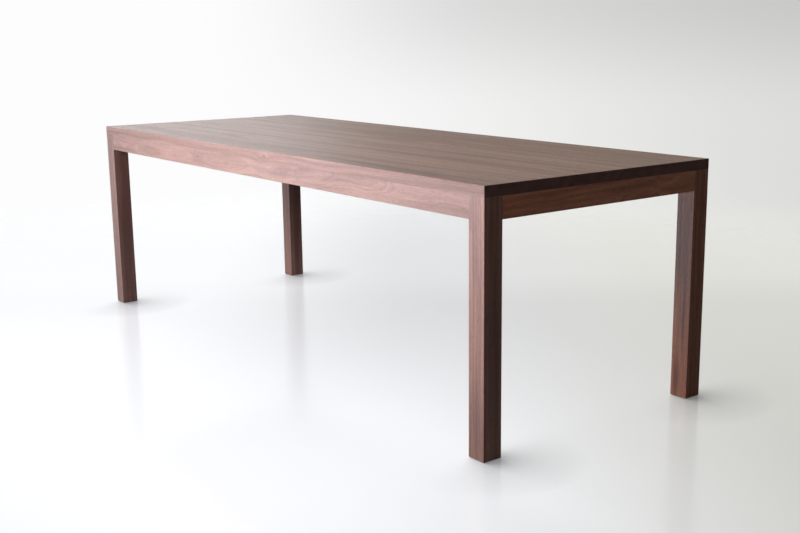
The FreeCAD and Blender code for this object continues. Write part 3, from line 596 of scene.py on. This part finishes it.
LONG_APRONS = {
    "apron_front": dict(
        heart=(0, 52, 6), lean=(0, 0.012, 0.006), seed=17.5, tone=1.12, waviness=17, wave_length=0.45,
        contrast=1.35, ring=1.2,
        streaks_and_painted_shade=[((-390, -12, 0), (60, 20, 34), 0.3), ((-150, -12, 24), (170, 20, 12), 0.35),
                 # The faint broad spot at the near end is painted shade.
                 ((980, -12, 0), (150, 20, 30), 0.12), ((420, -12, -20), (240, 20, 9), 0.35)],
        knots=[((-385, -12.7, 6), 8, 0.5)]),
    "apron_back": dict(heart=(0, 70, -20), lean=(0, 0.004, 0.01), seed=19.4, waviness=12),
}
END_APRONS = {
    "apron_right": dict(
        heart=(0, 48, -30), lean=(0, 0.01, 0.05), seed=21.7, tone=2.0, warmth=0.25, waviness=10,
        wave_length=0.35, contrast=1.3, knots=[((260, -12.7, 26), 14, 0.0)]),
    "apron_left": dict(
        heart=(0, 55, 20), lean=(0, 0.01, -0.03), seed=23.1, tone=1.1, warmth=0.1, waviness=9,
        wave_length=0.4, contrast=1.2),
}
RAILS = {
    "cross_rail_left": dict(heart=(0, 90, 60), seed=25.3, tone=0.95, waviness=6),
    "cross_rail_middle": dict(heart=(0, -80, 75), seed=27.9, waviness=6),
    "cross_rail_right": dict(heart=(0, 110, -40), seed=29.2, tone=0.92, waviness=6),
}


def finish_wood(pieces, grain):
    """Gives each piece of a table of figures its own wood."""
    for node, figure in pieces.items():
        coat(node, make_wood(node, grain, **figure))


class FinishTop(bpy.types.Operator):
    """Gives the six boards of the top their walnut."""
    bl_idname = "dining_table.finish_top"
    bl_label = "Finish the top"

    def execute(self, context):
        finish_wood(BOARDS, "x")
        return {"FINISHED"}


class FinishLegs(bpy.types.Operator):
    """Gives the four legs their walnut, with the grain upright."""
    bl_idname = "dining_table.finish_legs"
    bl_label = "Finish the legs"

    def execute(self, context):
        finish_wood(LEGS, "z")
        return {"FINISHED"}


class FinishAprons(bpy.types.Operator):
    """Gives the long and end aprons their walnut, with the grain along each."""
    bl_idname = "dining_table.finish_aprons"
    bl_label = "Finish the aprons"

    def execute(self, context):
        finish_wood(LONG_APRONS, "x")
        finish_wood(END_APRONS, "y")
        return {"FINISHED"}


class FinishCrossRails(bpy.types.Operator):
    """Gives the three dovetailed cross rails their walnut."""
    bl_idname = "dining_table.finish_cross_rails"
    bl_label = "Finish the cross rails"

    def execute(self, context):
        finish_wood(RAILS, "y")
        return {"FINISHED"}


class FinishCornerBlocks(bpy.types.Operator):
    """Gives the four corner blocks their maple."""
    bl_idname = "dining_table.finish_corner_blocks"
    bl_label = "Finish the corner blocks"

    def execute(self, context):
        nodes = sorted(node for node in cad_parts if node.startswith("corner_block_"))
        for number, node in enumerate(nodes):
            coat(node, make_wood(node, "z", heart=(0, 120 + 30 * number, 90), seed=31.0 + 1.7 * number,
                                 waviness=5, contrast=0.6, ring=0.7, maple=True))
        return {"FINISHED"}


# ---------------------------------------------------------------- fasteners in Geometry Nodes

# Corners this close together become one.
SOLDER = 1e-6
HEAD_SIDES = 28
ROWS_PER_TURN = 4.0
# Where a rod starts inside its head, as a share of the head's height from its top.
ROD_START = 0.8


# A cross recess's bars: their width as a share of their length, and their height as a share of the head's.
RECESS_SLOT = 0.24
RECESS_DEPTH = 1.3
# The depth of a screw's thread as a share of its width, and of a bolt's as a share of its pitch.
SCREW_THREAD = 0.16
BOLT_THREAD = 0.5
# The drum that chamfers a hexagon head: its widths as shares of the distance across flats, and its swell.
CHAMFER_SEAT = 1.17
CHAMFER_TOP = 0.93
CHAMFER_SWELL = 7.0
# How much longer than the head its prism and drum are, and how far down the prism's middle is.
OVERLONG = 1.2
PRISM_DROP = 0.4

# What a head and a rod are measured by.
HEAD_SHAPE = {"Seat width": 9 * MM, "Top width": 5.4 * MM, "Roundness": 2.5}
ROD_SHAPE = {"Width": 4.2 * MM, "Length": 22 * MM, "Pitch": 2 * MM, "Point": 4 * MM, "Sides": 18}


def handed_on(given, *names):
    """A few of a group's inputs, for another group that has them under the same names."""
    return {name: given[name] for name in names}


def read_place(tree):
    """Where each corner is, as three numbers."""
    return pull_apart(put(tree, "GeometryNodeInputPosition"))


@cache
def threaded_rod():
    """A rod with one helical thread, closed at both ends, running down from the origin."""
    takes = {**ROD_SHAPE, "Thread depth": 0.7 * MM}
    group, given = start_group("Threaded rod", "GeometryNodeTree", takes, {"Rod": GEOMETRY})
    length, pitch = given["Length"], given["Pitch"]
    grid = put(group, "GeometryNodeMeshGrid", {
        "Size X": 1.0, "Size Y": 1.0, "Vertices X": length / pitch * ROWS_PER_TURN + 2.0,
        "Vertices Y": given["Sides"] + 1.0,
    }, "Mesh")
    along, around = (number + 0.5 for number in read_place(group)[:2])
    down = along * length
    valley = (down / pitch + around).apply("PINGPONG", 0.5) * 2.0
    radius = given["Width"] / 2.0 - valley * given["Thread depth"]
    point = (length - down) / given["Point"]
    radius = radius * point.apply("MINIMUM", 1.0) * along.apply("GREATER_THAN", 1e-4)
    angle = around * math.tau
    spot = join_up(radius * angle.apply("COSINE"), radius * angle.apply("SINE"), -down)
    rod = put(group, "GeometryNodeSetPosition", {"Geometry": grid, "Position": spot})
    rod = put(group, "GeometryNodeMergeByDistance", {"Geometry": rod, "Distance": SOLDER})
    return finish_group(group, {"Rod": rod})


@cache
def turned_head():
    """A round head with its top at the origin, tapering or swelling from its seat to its top."""
    takes = {**HEAD_SHAPE, "Height": 3 * MM}
    group, given = start_group("Turned head", "GeometryNodeTree", takes, {"Head": GEOMETRY})
    drum = put(group, "GeometryNodeMeshCylinder", {
        "Vertices": HEAD_SIDES, "Side Segments": 6, "Radius": 0.5, "Depth": 1.0,
    }, "Mesh")
    x, y, z = read_place(group)
    growth = given["Top width"] - given["Seat width"]
    width = (z + 0.5) ** given["Roundness"] * growth + given["Seat width"]
    spot = join_up(x * width, y * width, (z - 0.5) * given["Height"])
    head = put(group, "GeometryNodeSetPosition", {"Geometry": drum, "Position": spot})
    return finish_group(group, {"Head": head})


def join_in(node, socket, meshes):
    """Links several meshes to one socket."""
    for mesh in meshes:
        node.id_data.links.new(mesh.socket, node.inputs[socket])


def cut_away(body, *cutters):
    """One mesh less others."""
    node = add_node(body.tree, "GeometryNodeMeshBoolean", {"Mesh 1": body},
                    operation="DIFFERENCE", solver="EXACT")
    join_in(node, "Mesh 2", cutters)
    return Field(node.outputs["Mesh"])


def overlap(*meshes):
    """The space that meshes share."""
    node = add_node(tree_of(*meshes), "GeometryNodeMeshBoolean", operation="INTERSECT", solver="EXACT")
    join_in(node, "Mesh 2", meshes)
    return Field(node.outputs["Mesh"])


def join_meshes(*meshes):
    """Several meshes as one."""
    node = add_node(tree_of(*meshes), "GeometryNodeJoinGeometry")
    join_in(node, 0, meshes)
    return Field(node.outputs[0])


def lower(mesh, distance):
    """A mesh moved down."""
    shift = join_up(0.0, 0.0, -distance)
    return put(mesh.tree, "GeometryNodeTransform", {"Geometry": mesh, "Translation": shift})


def set_out(group, given, shape):
    """Puts the shape on every point, turned to its axis and spun at random, with its finish."""
    axis = put(group, "GeometryNodeInputNamedAttribute", {"Name": "axis"}, data_type="FLOAT_VECTOR")
    turn = put(group, "FunctionNodeAlignRotationToVector", {"Vector": axis}, axis="Z")
    placed = put(group, "GeometryNodeInstanceOnPoints", {
        "Points": given["Points"], "Instance": shape, "Rotation": turn,
    })
    spin = put(group, "FunctionNodeRandomValue", {2: 0.0, 3: math.tau, "Seed": given["Seed"]}, 1,
               data_type="FLOAT")
    placed = put(group, "GeometryNodeRotateInstances", {
        "Instances": placed, "Rotation": join_up(0.0, 0.0, spin),
    })
    real = put(group, "GeometryNodeRealizeInstances", {"Geometry": placed})
    done = put(group, "GeometryNodeSetMaterial", {"Geometry": real, "Material": given["Finish"]})
    return finish_group(group, {"Fasteners": done})


def start_fasteners(name, sizes):
    """A group that takes points, sizes, a seed and a finish, and gives fasteners."""
    takes = {"Points": GEOMETRY, **sizes, "Seed": 1, "Finish": STUFF}
    return start_group(name, "GeometryNodeTree", takes, {"Fasteners": GEOMETRY})


@cache
def screw_tree():
    """Wood screws: a head with a cross recess on a threaded rod that ends in a point."""
    takes = {**HEAD_SHAPE, "Head height": 3 * MM, "Recess": 4.4 * MM, **ROD_SHAPE}
    group, given = start_fasteners("Wood screws", takes)
    head = use_group(group, turned_head(), {
        **handed_on(given, *HEAD_SHAPE), "Height": given["Head height"],
    })["Head"]
    wide, narrow, deep = given["Recess"], given["Recess"] * RECESS_SLOT, given["Head height"] * RECESS_DEPTH
    bars = [
        put(group, "GeometryNodeMeshCube", {"Size": join_up(*sides, deep)}, "Mesh")
        for sides in ((wide, narrow), (narrow, wide))
    ]
    rod = use_group(group, threaded_rod(), {
        **handed_on(given, *ROD_SHAPE), "Thread depth": given["Width"] * SCREW_THREAD,
    })["Rod"]
    screw = join_meshes(cut_away(head, *bars), lower(rod, given["Head height"] * ROD_START))
    return set_out(group, given, screw)


@cache
def bolt_tree():
    """Hexagon bolts: a chamfered hexagon head on a threaded rod with a blunt end."""
    group, given = start_fasteners("Hexagon bolts", {
        "Across flats": 13 * MM, "Head height": 5.3 * MM, "Width": 8 * MM, "Length": 56 * MM,
        "Pitch": 1.25 * MM, "Sides": 18,
    })
    flats, height, pitch = given["Across flats"], given["Head height"], given["Pitch"]

    # The prism stands past the drum's top and the drum past the prism's seat, so that no faces coincide.
    overlong = height * OVERLONG
    prism = put(group, "GeometryNodeMeshCylinder", {
        "Vertices": 6, "Radius": flats / math.sqrt(3), "Depth": overlong,
    }, "Mesh")
    drum = use_group(group, turned_head(), {
        "Seat width": flats * CHAMFER_SEAT, "Top width": flats * CHAMFER_TOP, "Roundness": CHAMFER_SWELL,
        "Height": overlong,
    })["Head"]
    head = overlap(lower(prism, height * PRISM_DROP), drum)
    rod = use_group(group, threaded_rod(), {
        **handed_on(given, "Width", "Length", "Pitch", "Sides"), "Thread depth": pitch * BOLT_THREAD,
        "Point": pitch,
    })["Rod"]
    return set_out(group, given, join_meshes(head, lower(rod, height * ROD_START)))


@cache
def ring_tree():
    """Rings with rounded edges, and a helical ridge round them where one is wanted."""
    group, given = start_fasteners("Rings", {
        "Outer width": 24 * MM, "Bore": 9 * MM, "Thickness": 2 * MM, "Rounding": 0.25 * MM, "Ridge": 0.0,
        "Ridge pitch": 2.5 * MM, "Sides": 40,
    })
    ridge, pitch, thickness = given["Ridge"], given["Ridge pitch"], given["Thickness"]
    wall = (given["Outer width"] - given["Bore"]) / 2.0 - ridge
    section = put(group, "GeometryNodeCurvePrimitiveQuadrilateral", {"Width": wall, "Height": thickness})
    section = put(group, "GeometryNodeFilletCurve", {
        "Curve": section, "Radius": given["Rounding"], "Count": 3,
    }, mode="POLY")
    path = put(group, "GeometryNodeCurvePrimitiveCircle", {
        "Resolution": given["Sides"], "Radius": (given["Bore"] + wall) / 2.0,
    })
    ring = put(group, "GeometryNodeCurveToMesh", {"Curve": path, "Profile Curve": section})

    turns = thickness / pitch - 1.0
    radius = given["Outer width"] / 2.0 - ridge
    helix = put(group, "GeometryNodeCurveSpiral", {
        "Resolution": given["Sides"], "Rotations": turns, "Start Radius": radius, "End Radius": radius,
        "Height": turns * pitch,
    })
    edge = put(group, "GeometryNodeCurvePrimitiveCircle", {"Resolution": 4, "Radius": ridge})
    thread = put(group, "GeometryNodeCurveToMesh", {
        "Curve": helix, "Profile Curve": edge, "Fill Caps": True,
    })
    thread = put(group, "GeometryNodeSwitch", {
        "Switch": ridge.apply("GREATER_THAN", 0.0), "True": lower(thread, turns * pitch / 2.0),
    }, input_type="GEOMETRY")
    return set_out(group, given, lower(join_meshes(ring, thread), thickness / 2.0))


def separate_solids(node):
    """The corners of each separate solid of a CAD node, always in the same order."""
    shape = bmesh.new()
    shape.from_mesh(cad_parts[node].data)
    bmesh.ops.remove_doubles(shape, verts=shape.verts, dist=SOLDER)
    left = set(shape.verts)
    solids = []
    while left:
        waiting = [left.pop()]
        solid = []
        while waiting:
            corner = waiting.pop()
            solid.append(corner.co.copy())
            for edge in corner.link_edges:
                other = edge.other_vert(corner)
                if other in left:
                    left.remove(other)
                    waiting.append(other)
        solids.append(solid)
    shape.free()
    return sorted(solids, key=lambda solid: [round(number, 4) for number in middle_of(solid)])


def box_of(corners):
    """The lowest and the highest corner of the box round some corners."""
    return (Vector([pick(corner[axis] for corner in corners) for axis in range(3)]) for pick in (min, max))


def middle_of(corners):
    """The middle of the box round some corners."""
    low, high = box_of(corners)
    return (low + high) / 2


def downward(corners):
    """The head end of a screw that is driven up."""
    return Vector((0, 0, -1))


def off_the_apron(corners):
    """The head end of a screw that is driven square into an apron."""
    low, high = box_of(corners)
    axis = max(range(3), key=lambda number: high[number] - low[number])
    toward = Vector((0, 0, 0))
    toward[axis] = -math.copysign(1, corners[0][axis])
    return toward


def inward_diagonal(corners):
    """The head end of a bolt that is driven into a leg along the corner's diagonal."""
    middle = middle_of(corners)
    return Vector((-math.copysign(1, middle.x), -math.copysign(1, middle.y), 0)).normalized()


def points_at_heads(name, node, toward):
    """A mesh of points at the outer ends of a CAD node's fasteners, each with its axis."""
    spots, axes = [], []
    for solid in separate_solids(node):
        axis = toward(solid)
        middle = middle_of(solid)
        top = max(corner.dot(axis) for corner in solid)
        spots.append(middle + axis * (top - middle.dot(axis)))
        axes.append(axis)
    mesh = bpy.data.meshes.new(name)
    mesh.from_pydata([tuple(spot) for spot in spots], [], [])
    attribute = mesh.attributes.new("axis", "FLOAT_VECTOR", "POINT")
    attribute.data.foreach_set("vector", [number for axis in axes for number in axis])
    return mesh


def stand(thing, name):
    """A new object of the scene that holds a mesh, a camera or a lamp."""
    made = bpy.data.objects.new(name, thing)
    bpy.context.scene.collection.objects.link(made)
    return made


def make_fasteners(name, node, toward, tree, sizes, finish):
    """Runs a tree over the places of a CAD node's fasteners and keeps the result as a plain mesh."""
    piece = stand(points_at_heads(name, node, toward), name)
    modifier = piece.modifiers.new("Fasteners", "NODES")
    modifier.node_group = tree
    values = dict(sizes, Finish=finish)
    for socket in tree.interface.items_tree:
        if socket.in_out == "INPUT" and socket.name in values:
            modifier[socket.identifier] = values[socket.name]
    seen = bpy.context.evaluated_depsgraph_get()
    mesh = bpy.data.meshes.new_from_object(piece.evaluated_get(seen), depsgraph=seen)
    mesh.name = name
    piece.modifiers.remove(modifier)
    if len(mesh.polygons) == 0:
        raise RuntimeError(f"{name} came out empty")
    piece.data = mesh
    mesh.materials.clear()
    mesh.materials.append(finish)
    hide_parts(node)
    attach(piece, BODY)
    return piece


class MakeWoodScrews(bpy.types.Operator):
    """Makes the screws of the corner blocks, cross rails, clips and glides."""
    bl_idname = "dining_table.make_wood_screws"
    bl_label = "Make the wood screws"

    def execute(self, context):
        sizes = context.scene.table_hardware
        steel = make_metal("screw_steel_look", sizes.steel, 0.55, 0.30)
        common = {"Pitch": sizes.screw_pitch, "Sides": sizes.thread_sides, "Point": 4 * MM}
        washer_head = {
            "Seat width": sizes.screw_head, "Top width": sizes.screw_head * 0.6, "Roundness": 2.6,
            "Head height": 3 * MM, "Recess": sizes.screw_head * 0.46, "Width": sizes.screw_width,
        }
        flush_head = {
            "Seat width": 3.4 * MM, "Top width": 7 * MM, "Roundness": 1.0, "Head height": 2 * MM,
            "Recess": 3.8 * MM, "Width": 3.5 * MM,
        }

        # Each kind's node, the way its heads face, their shape, the rod's length and the seed of its turns.
        for node, toward, head, rod_length, seed in (
            ("block_screws", off_the_apron, washer_head, 22.6, 3),
            ("rail_screws", downward, washer_head, 35.6, 5),
            ("clip_screws", downward, washer_head, 21.6, 7),
            ("glide_screws", downward, flush_head, 15.9, 11),
        ):
            shape = {**common, **head, "Length": rod_length * MM, "Seed": seed}
            make_fasteners("turned_" + node, node, toward, screw_tree(), shape, steel)
        return {"FINISHED"}


class MakeLegBolts(bpy.types.Operator):
    """Makes the hexagon bolts that draw the legs to the corner blocks."""
    bl_idname = "dining_table.make_leg_bolts"
    bl_label = "Make the leg bolts"

    def execute(self, context):
        sizes = context.scene.table_hardware
        zinc = make_metal("zinc_look", sizes.steel, 0.62, 0.34, dullness=0.55)
        make_fasteners("hexagon_leg_bolts", "leg_bolts", inward_diagonal, bolt_tree(), {
            "Across flats": 13 * MM, "Head height": 5.3 * MM, "Width": sizes.bolt_width,
            "Length": 57.6 * MM, "Pitch": sizes.bolt_pitch, "Sides": sizes.thread_sides, "Seed": 13,
        }, zinc)
        return {"FINISHED"}


class MakeWashers(bpy.types.Operator):
    """Makes the wide washers under the bolts' heads."""
    bl_idname = "dining_table.make_washers"
    bl_label = "Make the washers"

    def execute(self, context):
        sizes = context.scene.table_hardware
        zinc = make_metal("washer_look", sizes.steel, 0.66, 0.38, dullness=0.5)
        make_fasteners("stamped_washers", "bolt_washers", inward_diagonal, ring_tree(), {
            "Outer width": 24 * MM, "Bore": 9 * MM, "Thickness": 2 * MM, "Rounding": 0.3 * MM,
            "Ridge": 0.0, "Sides": 40, "Seed": 17,
        }, zinc)
        return {"FINISHED"}


class MakeInserts(bpy.types.Operator):
    """Makes the threaded inserts in the legs."""
    bl_idname = "dining_table.make_inserts"
    bl_label = "Make the threaded inserts"

    def execute(self, context):
        sizes = context.scene.table_hardware
        brass = make_metal("brass_look", sizes.brass, 0.5, 0.28)
        make_fasteners("threaded_inserts", "leg_inserts", inward_diagonal, ring_tree(), {
            "Outer width": 12 * MM, "Bore": 8.2 * MM, "Thickness": 20 * MM, "Rounding": 0.3 * MM,
            "Ridge": 0.9 * MM, "Ridge pitch": 2.5 * MM, "Sides": 32, "Seed": 19,
        }, brass)
        return {"FINISHED"}


class FinishClips(bpy.types.Operator):
    """Gives the bent clips their plated steel."""
    bl_idname = "dining_table.finish_clips"
    bl_label = "Finish the clips"

    def execute(self, context):
        steel = Vector(context.scene.table_hardware.steel) * 0.92
        coat("top_clips", make_metal("clip_look", steel, 0.5435, 0.36))
        return {"FINISHED"}


class FinishGlides(bpy.types.Operator):
    """Gives the glides under the feet their nylon."""
    bl_idname = "dining_table.finish_glides"
    bl_label = "Finish the glides"

    def execute(self, context):
        nylon = make_plastic("nylon_look", context.scene.table_hardware.nylon)
        for node in sorted(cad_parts):
            if node.startswith("glide_") and node != "glide_screws":
                coat(node, nylon)
        return {"FINISHED"}


# ---------------------------------------------------------------- stage

CAMERA_PLACE = Vector((3.395, -2.358, 1.165))
CAMERA_AZIMUTH = math.radians(51.80)
CAMERA_ELEVATION = math.radians(12.12)
CAMERA_ROLL = math.radians(-0.46)
CAMERA_LENS = 50.68
SENSOR = 36.0
CAMERA_SHIFT = (-0.0346, 0.0023)

# Two level directions along which the floor and the background change, in the table's own axes.
ACROSS_ROOM = (0.618, 0.786, 0.0)
INTO_ROOM = (-0.786, 0.618, 0.0)

FLOOR_RADIUS = 9.0
FLOOR_GAP = 0.2 * MM
FLOOR_ROUGHNESS = 0.16
FLOOR_FADE = (2.4, 4.6)
# The floor's glow: painted light on the floor, its colours, levels and pools.
BRIGHT_GLOW = (0.966, 0.98, 1.0, 1.0)
DIM_GLOW = (0.97, 0.966, 0.897, 1.0)
GLOW_LEVEL = 0.492
GLOW_IN_FRONT = 0.287
GLOW_AT_BACK = 0.05
LEFT_GLOW_IN_FRONT = -0.074
LEFT_GLOW_RISE = 0.25
SHADE_REACH = 0.25
SHADE_STRENGTH = 1.6
DEEPEST_SHADE = 0.3
ROOM_GLOSS = 0.12
WALL_SHADE = -0.20

TOWARD_DAYLIGHT = (-0.94, -0.16, 0.30)
NEUTRAL = (1.0, 1.0, 1.0)

# Each far light: the way it shines, how many degrees wide its patch of sky is, and its colour.
FAR_LIGHTS = {
    "daylight": ((0.90, 0.16, -0.42), 28, NEUTRAL),
    "sheen": ((0.80, -0.55, -0.25), 80, (1.0, 1.03, 0.84)),
    "left_sheen": ((0.975, -0.05, -0.2), 60, (0.97, 1.0, 1.07)),
    "floor_sheen": ((0.78, -0.58, -0.30), 100, NEUTRAL),
}

# Each lamp: where it stands, where it points, its width and height, and its colour.
LAMPS = {
    "window": ((0.0, -1.65, 1.25), (0.0, -0.3, 0.6), (2.6, 0.5), (0.98, 0.99, 1.08)),
    "card": ((-1.15, -2.8, 0.65), (0.5, -0.4, 0.6), (3.4, 1.4), (0.95, 1.0, 1.09)),
    "wall": ((-4.2, 3.2, 1.6), (0.0, 0.0, 0.6), (4.0, 2.4), NEUTRAL),
}


def set_camera():
    """The camera, from where it stands and the way it looks."""
    back = Vector((math.sin(CAMERA_AZIMUTH) * math.cos(CAMERA_ELEVATION),
                   -math.cos(CAMERA_AZIMUTH) * math.cos(CAMERA_ELEVATION), math.sin(CAMERA_ELEVATION)))
    right = (-back).cross(Vector((0, 0, 1))).normalized()
    up = right.cross(-back)
    roll = Matrix.Rotation(CAMERA_ROLL, 3, back)
    turn = roll @ Matrix((right, up, back)).transposed()
    data = bpy.data.cameras.new("camera")
    data.lens = CAMERA_LENS
    data.sensor_width = SENSOR
    data.shift_x, data.shift_y = CAMERA_SHIFT
    camera = stand(data, "camera")
    camera.matrix_world = Matrix.Translation(CAMERA_PLACE) @ turn.to_4x4()
    bpy.context.scene.camera = camera


def painted_floor_light(tree, spot):
    """Painted light on the floor as a glow: a painted pool, brightest in front on the left, and painted shadow
    round the feet.
    """
    across = spot.apply("DOT_PRODUCT", ACROSS_ROOM)
    depth = spot.apply("DOT_PRODUCT", INTO_ROOM)
    in_front = between(depth, 0.6, -1.6) * between(across, 1.5, -0.2) * GLOW_IN_FRONT
    at_left = (between(depth, -1.6, 0.6) * LEFT_GLOW_RISE + LEFT_GLOW_IN_FRONT) * between(across, 0.2, -0.9)
    at_back = between(depth, 0.5, 1.2) * GLOW_AT_BACK
    colour = tint(between(across, 0.2, 1.4), BRIGHT_GLOW, DIM_GLOW)

    # Painted shadow: ambient occlusion turned toward the daylight darkens the glow behind the feet. The node
    # heeds its normal only when it is linked.
    toward = put(tree, "ShaderNodeCombineXYZ", dict(zip("XYZ", TOWARD_DAYLIGHT)))
    open_sky = put(tree, "ShaderNodeAmbientOcclusion", {"Distance": SHADE_REACH, "Normal": toward}, "AO",
                   samples=8)
    shade = open_sky * SHADE_STRENGTH + (1.0 - SHADE_STRENGTH)
    level = (in_front + at_left + at_back + GLOW_LEVEL) * shade.apply("MAXIMUM", DEEPEST_SHADE)

    # Polished pieces see little of the glow away from the bright side.
    path = results(add_node(tree, "ShaderNodeLightPath"))
    mirrored = between(across, 0.8, -0.6) * 0.95 + 0.06
    seen = path["Is Glossy Ray"] * mirrored + path["Is Camera Ray"]
    return put(tree, "ShaderNodeEmission", {"Color": shaded(colour, level), "Strength": seen})


def set_floor(stage):
    """A pale floor that keeps the table's shadow, with painted light and shadow in its glow, and fades into the
    background.
    """
    disc = bmesh.new()
    bmesh.ops.create_circle(disc, cap_ends=True, segments=96, radius=FLOOR_RADIUS)
    mesh = bpy.data.meshes.new("floor")
    disc.to_mesh(mesh)
    disc.free()
    floor = stand(mesh, "floor")
    floor.location.z = -FLOOR_GAP

    material, tree, skin, spot = start_material("floor_look")
    fill(skin, {"Base Color": opaque(stage.floor), "Roughness": FLOOR_ROUGHNESS})
    lit = put(tree, "ShaderNodeAddShader", {0: Field(skin.outputs[0]), 1: painted_floor_light(tree, spot)})
    mixed = put(tree, "ShaderNodeMixShader", {
        0: between(spot.apply("LENGTH"), *FLOOR_FADE), 1: lit, 2: put(tree, "ShaderNodeBsdfTransparent"),
    })
    fill(tree.get_output_node("ALL"), {"Surface": mixed})
    mesh.materials.append(material)
    return floor


def set_background(stage):
    """The pale background that the camera and polished metal see, and the faint light from all round."""
    world = bpy.data.worlds.new("room")
    world.use_nodes = True
    tree = world.node_tree
    tree.nodes.clear()
    way = put(tree, "ShaderNodeTexCoord", output="Generated")
    across = way.apply("DOT_PRODUCT", ACROSS_ROOM)
    height = pull_apart(way)[2]
    colour = tint(between(across, -0.22, 0.42), opaque(stage.bright_background), opaque(stage.dim_background))
    shade = between(across, -0.2, 0.06) * between(height, -0.08, 0.03) * WALL_SHADE + 1.0

    path = results(add_node(tree, "ShaderNodeLightPath"))
    mirrored = path["Is Glossy Ray"].apply("MAXIMUM", path["Is Transmission Ray"])
    mirrored = mirrored * path["Diffuse Depth"].apply("LESS_THAN", 0.5)
    seen = path["Is Camera Ray"].apply("MAXIMUM", mirrored)
    strength = put(tree, "ShaderNodeMix", {0: mirrored, 2: 1.0, 3: ROOM_GLOSS}, data_type="FLOAT")
    shown = put(tree, "ShaderNodeBackground", {"Color": shaded(colour, shade), "Strength": strength})
    even = put(tree, "ShaderNodeBackground", {"Color": (1, 1, 1, 1), "Strength": stage.room_light})
    mixed = put(tree, "ShaderNodeMixShader", {0: seen, 1: even, 2: shown})
    fill(tree.nodes.new("ShaderNodeOutputWorld"), {"Surface": mixed})
    bpy.context.scene.world = world


def aim(data, name, way, energy, colour):
    """A light of the scene with its strength and colour, turned the way it shines."""
    data.energy = energy
    data.color = colour
    lamp = stand(data, name)
    lamp.rotation_mode = "QUATERNION"
    lamp.rotation_quaternion = Vector(way).to_track_quat("-Z", "Y")
    return lamp


def set_lamp(name, power):
    """One soft rectangular lamp."""
    place, target, size, colour = LAMPS[name]
    data = bpy.data.lights.new(name, "AREA")
    data.shape = "RECTANGLE"
    data.size, data.size_y = size
    lamp = aim(data, name, Vector(target) - Vector(place), power, colour)
    lamp.location = place
    lamp.visible_camera = False
    return lamp


def set_far_light(name, strength):
    """Even light from a wide patch of sky or wall far away."""
    way, spread, colour = FAR_LIGHTS[name]
    data = bpy.data.lights.new(name, "SUN")
    data.angle = math.radians(spread)
    return aim(data, name, way, strength, colour)


def shine(lamp, floor, state):
    """Makes a lamp shine on polished faces only, and either leaves the floor out or lights it alone."""
    lamp.visible_diffuse = False
    chosen = bpy.data.collections.new(lamp.name + "_floor")
    chosen.objects.link(floor)
    chosen.collection_objects[0].light_linking.link_state = state
    lamp.light_linking.receiver_collection = chosen


class SetStage(bpy.types.Operator):
    """Sets the camera, the floor, the background and the lamps."""
    bl_idname = "dining_table.set_stage"
    bl_label = "Set the stage"

    def execute(self, context):
        stage = context.scene.table_stage
        context.scene.view_settings.view_transform = "Standard"
        set_camera()
        floor = set_floor(stage)
        set_background(stage)
        for lamp in (set_far_light("daylight", stage.daylight), set_lamp("window", stage.window_power),
                     set_lamp("wall", stage.wall_power)):
            lamp.visible_glossy = False
        shine(set_far_light("sheen", stage.sheen), floor, "EXCLUDE")
        shine(set_far_light("left_sheen", stage.left_sheen), floor, "EXCLUDE")
        shine(set_lamp("card", stage.card_power), floor, "EXCLUDE")
        shine(set_far_light("floor_sheen", stage.floor_sheen), floor, "INCLUDE")
        return {"FINISHED"}


# ---------------------------------------------------------------- panel, registration and the run

STEPS = (
    FinishTop, FinishLegs, FinishAprons, FinishCrossRails, FinishCornerBlocks, MakeWoodScrews, MakeLegBolts,
    MakeWashers, MakeInserts, FinishClips, FinishGlides, SetStage,
)


class TablePanel(bpy.types.Panel):
    """Lists the table's settings and steps."""
    bl_idname = "VIEW3D_PT_dining_table"
    bl_label = "Dining table"
    bl_space_type = "VIEW_3D"
    bl_region_type = "UI"
    bl_category = "Table"

    def draw(self, context):
        for settings in (context.scene.table_wood, context.scene.table_hardware, context.scene.table_stage):
            box = self.layout.box()
            for name in settings.__annotations__:
                box.prop(settings, name)
        for step in STEPS:
            self.layout.operator(step.bl_idname)


SETTINGS = {"table_wood": WoodSettings, "table_hardware": HardwareSettings, "table_stage": StageSettings}


def register():
    for kind in (*SETTINGS.values(), *STEPS, TablePanel):
        bpy.utils.register_class(kind)
    for name, kind in SETTINGS.items():
        setattr(bpy.types.Scene, name, PointerProperty(type=kind))


def unregister():
    for name in SETTINGS:
        delattr(bpy.types.Scene, name)
    for kind in reversed((*SETTINGS.values(), *STEPS, TablePanel)):
        bpy.utils.unregister_class(kind)


def main():
    register()
    for step in STEPS:
        family, name = step.bl_idname.split(".")
        getattr(getattr(bpy.ops, family), name)()


if __name__ == "__main__":
    main()
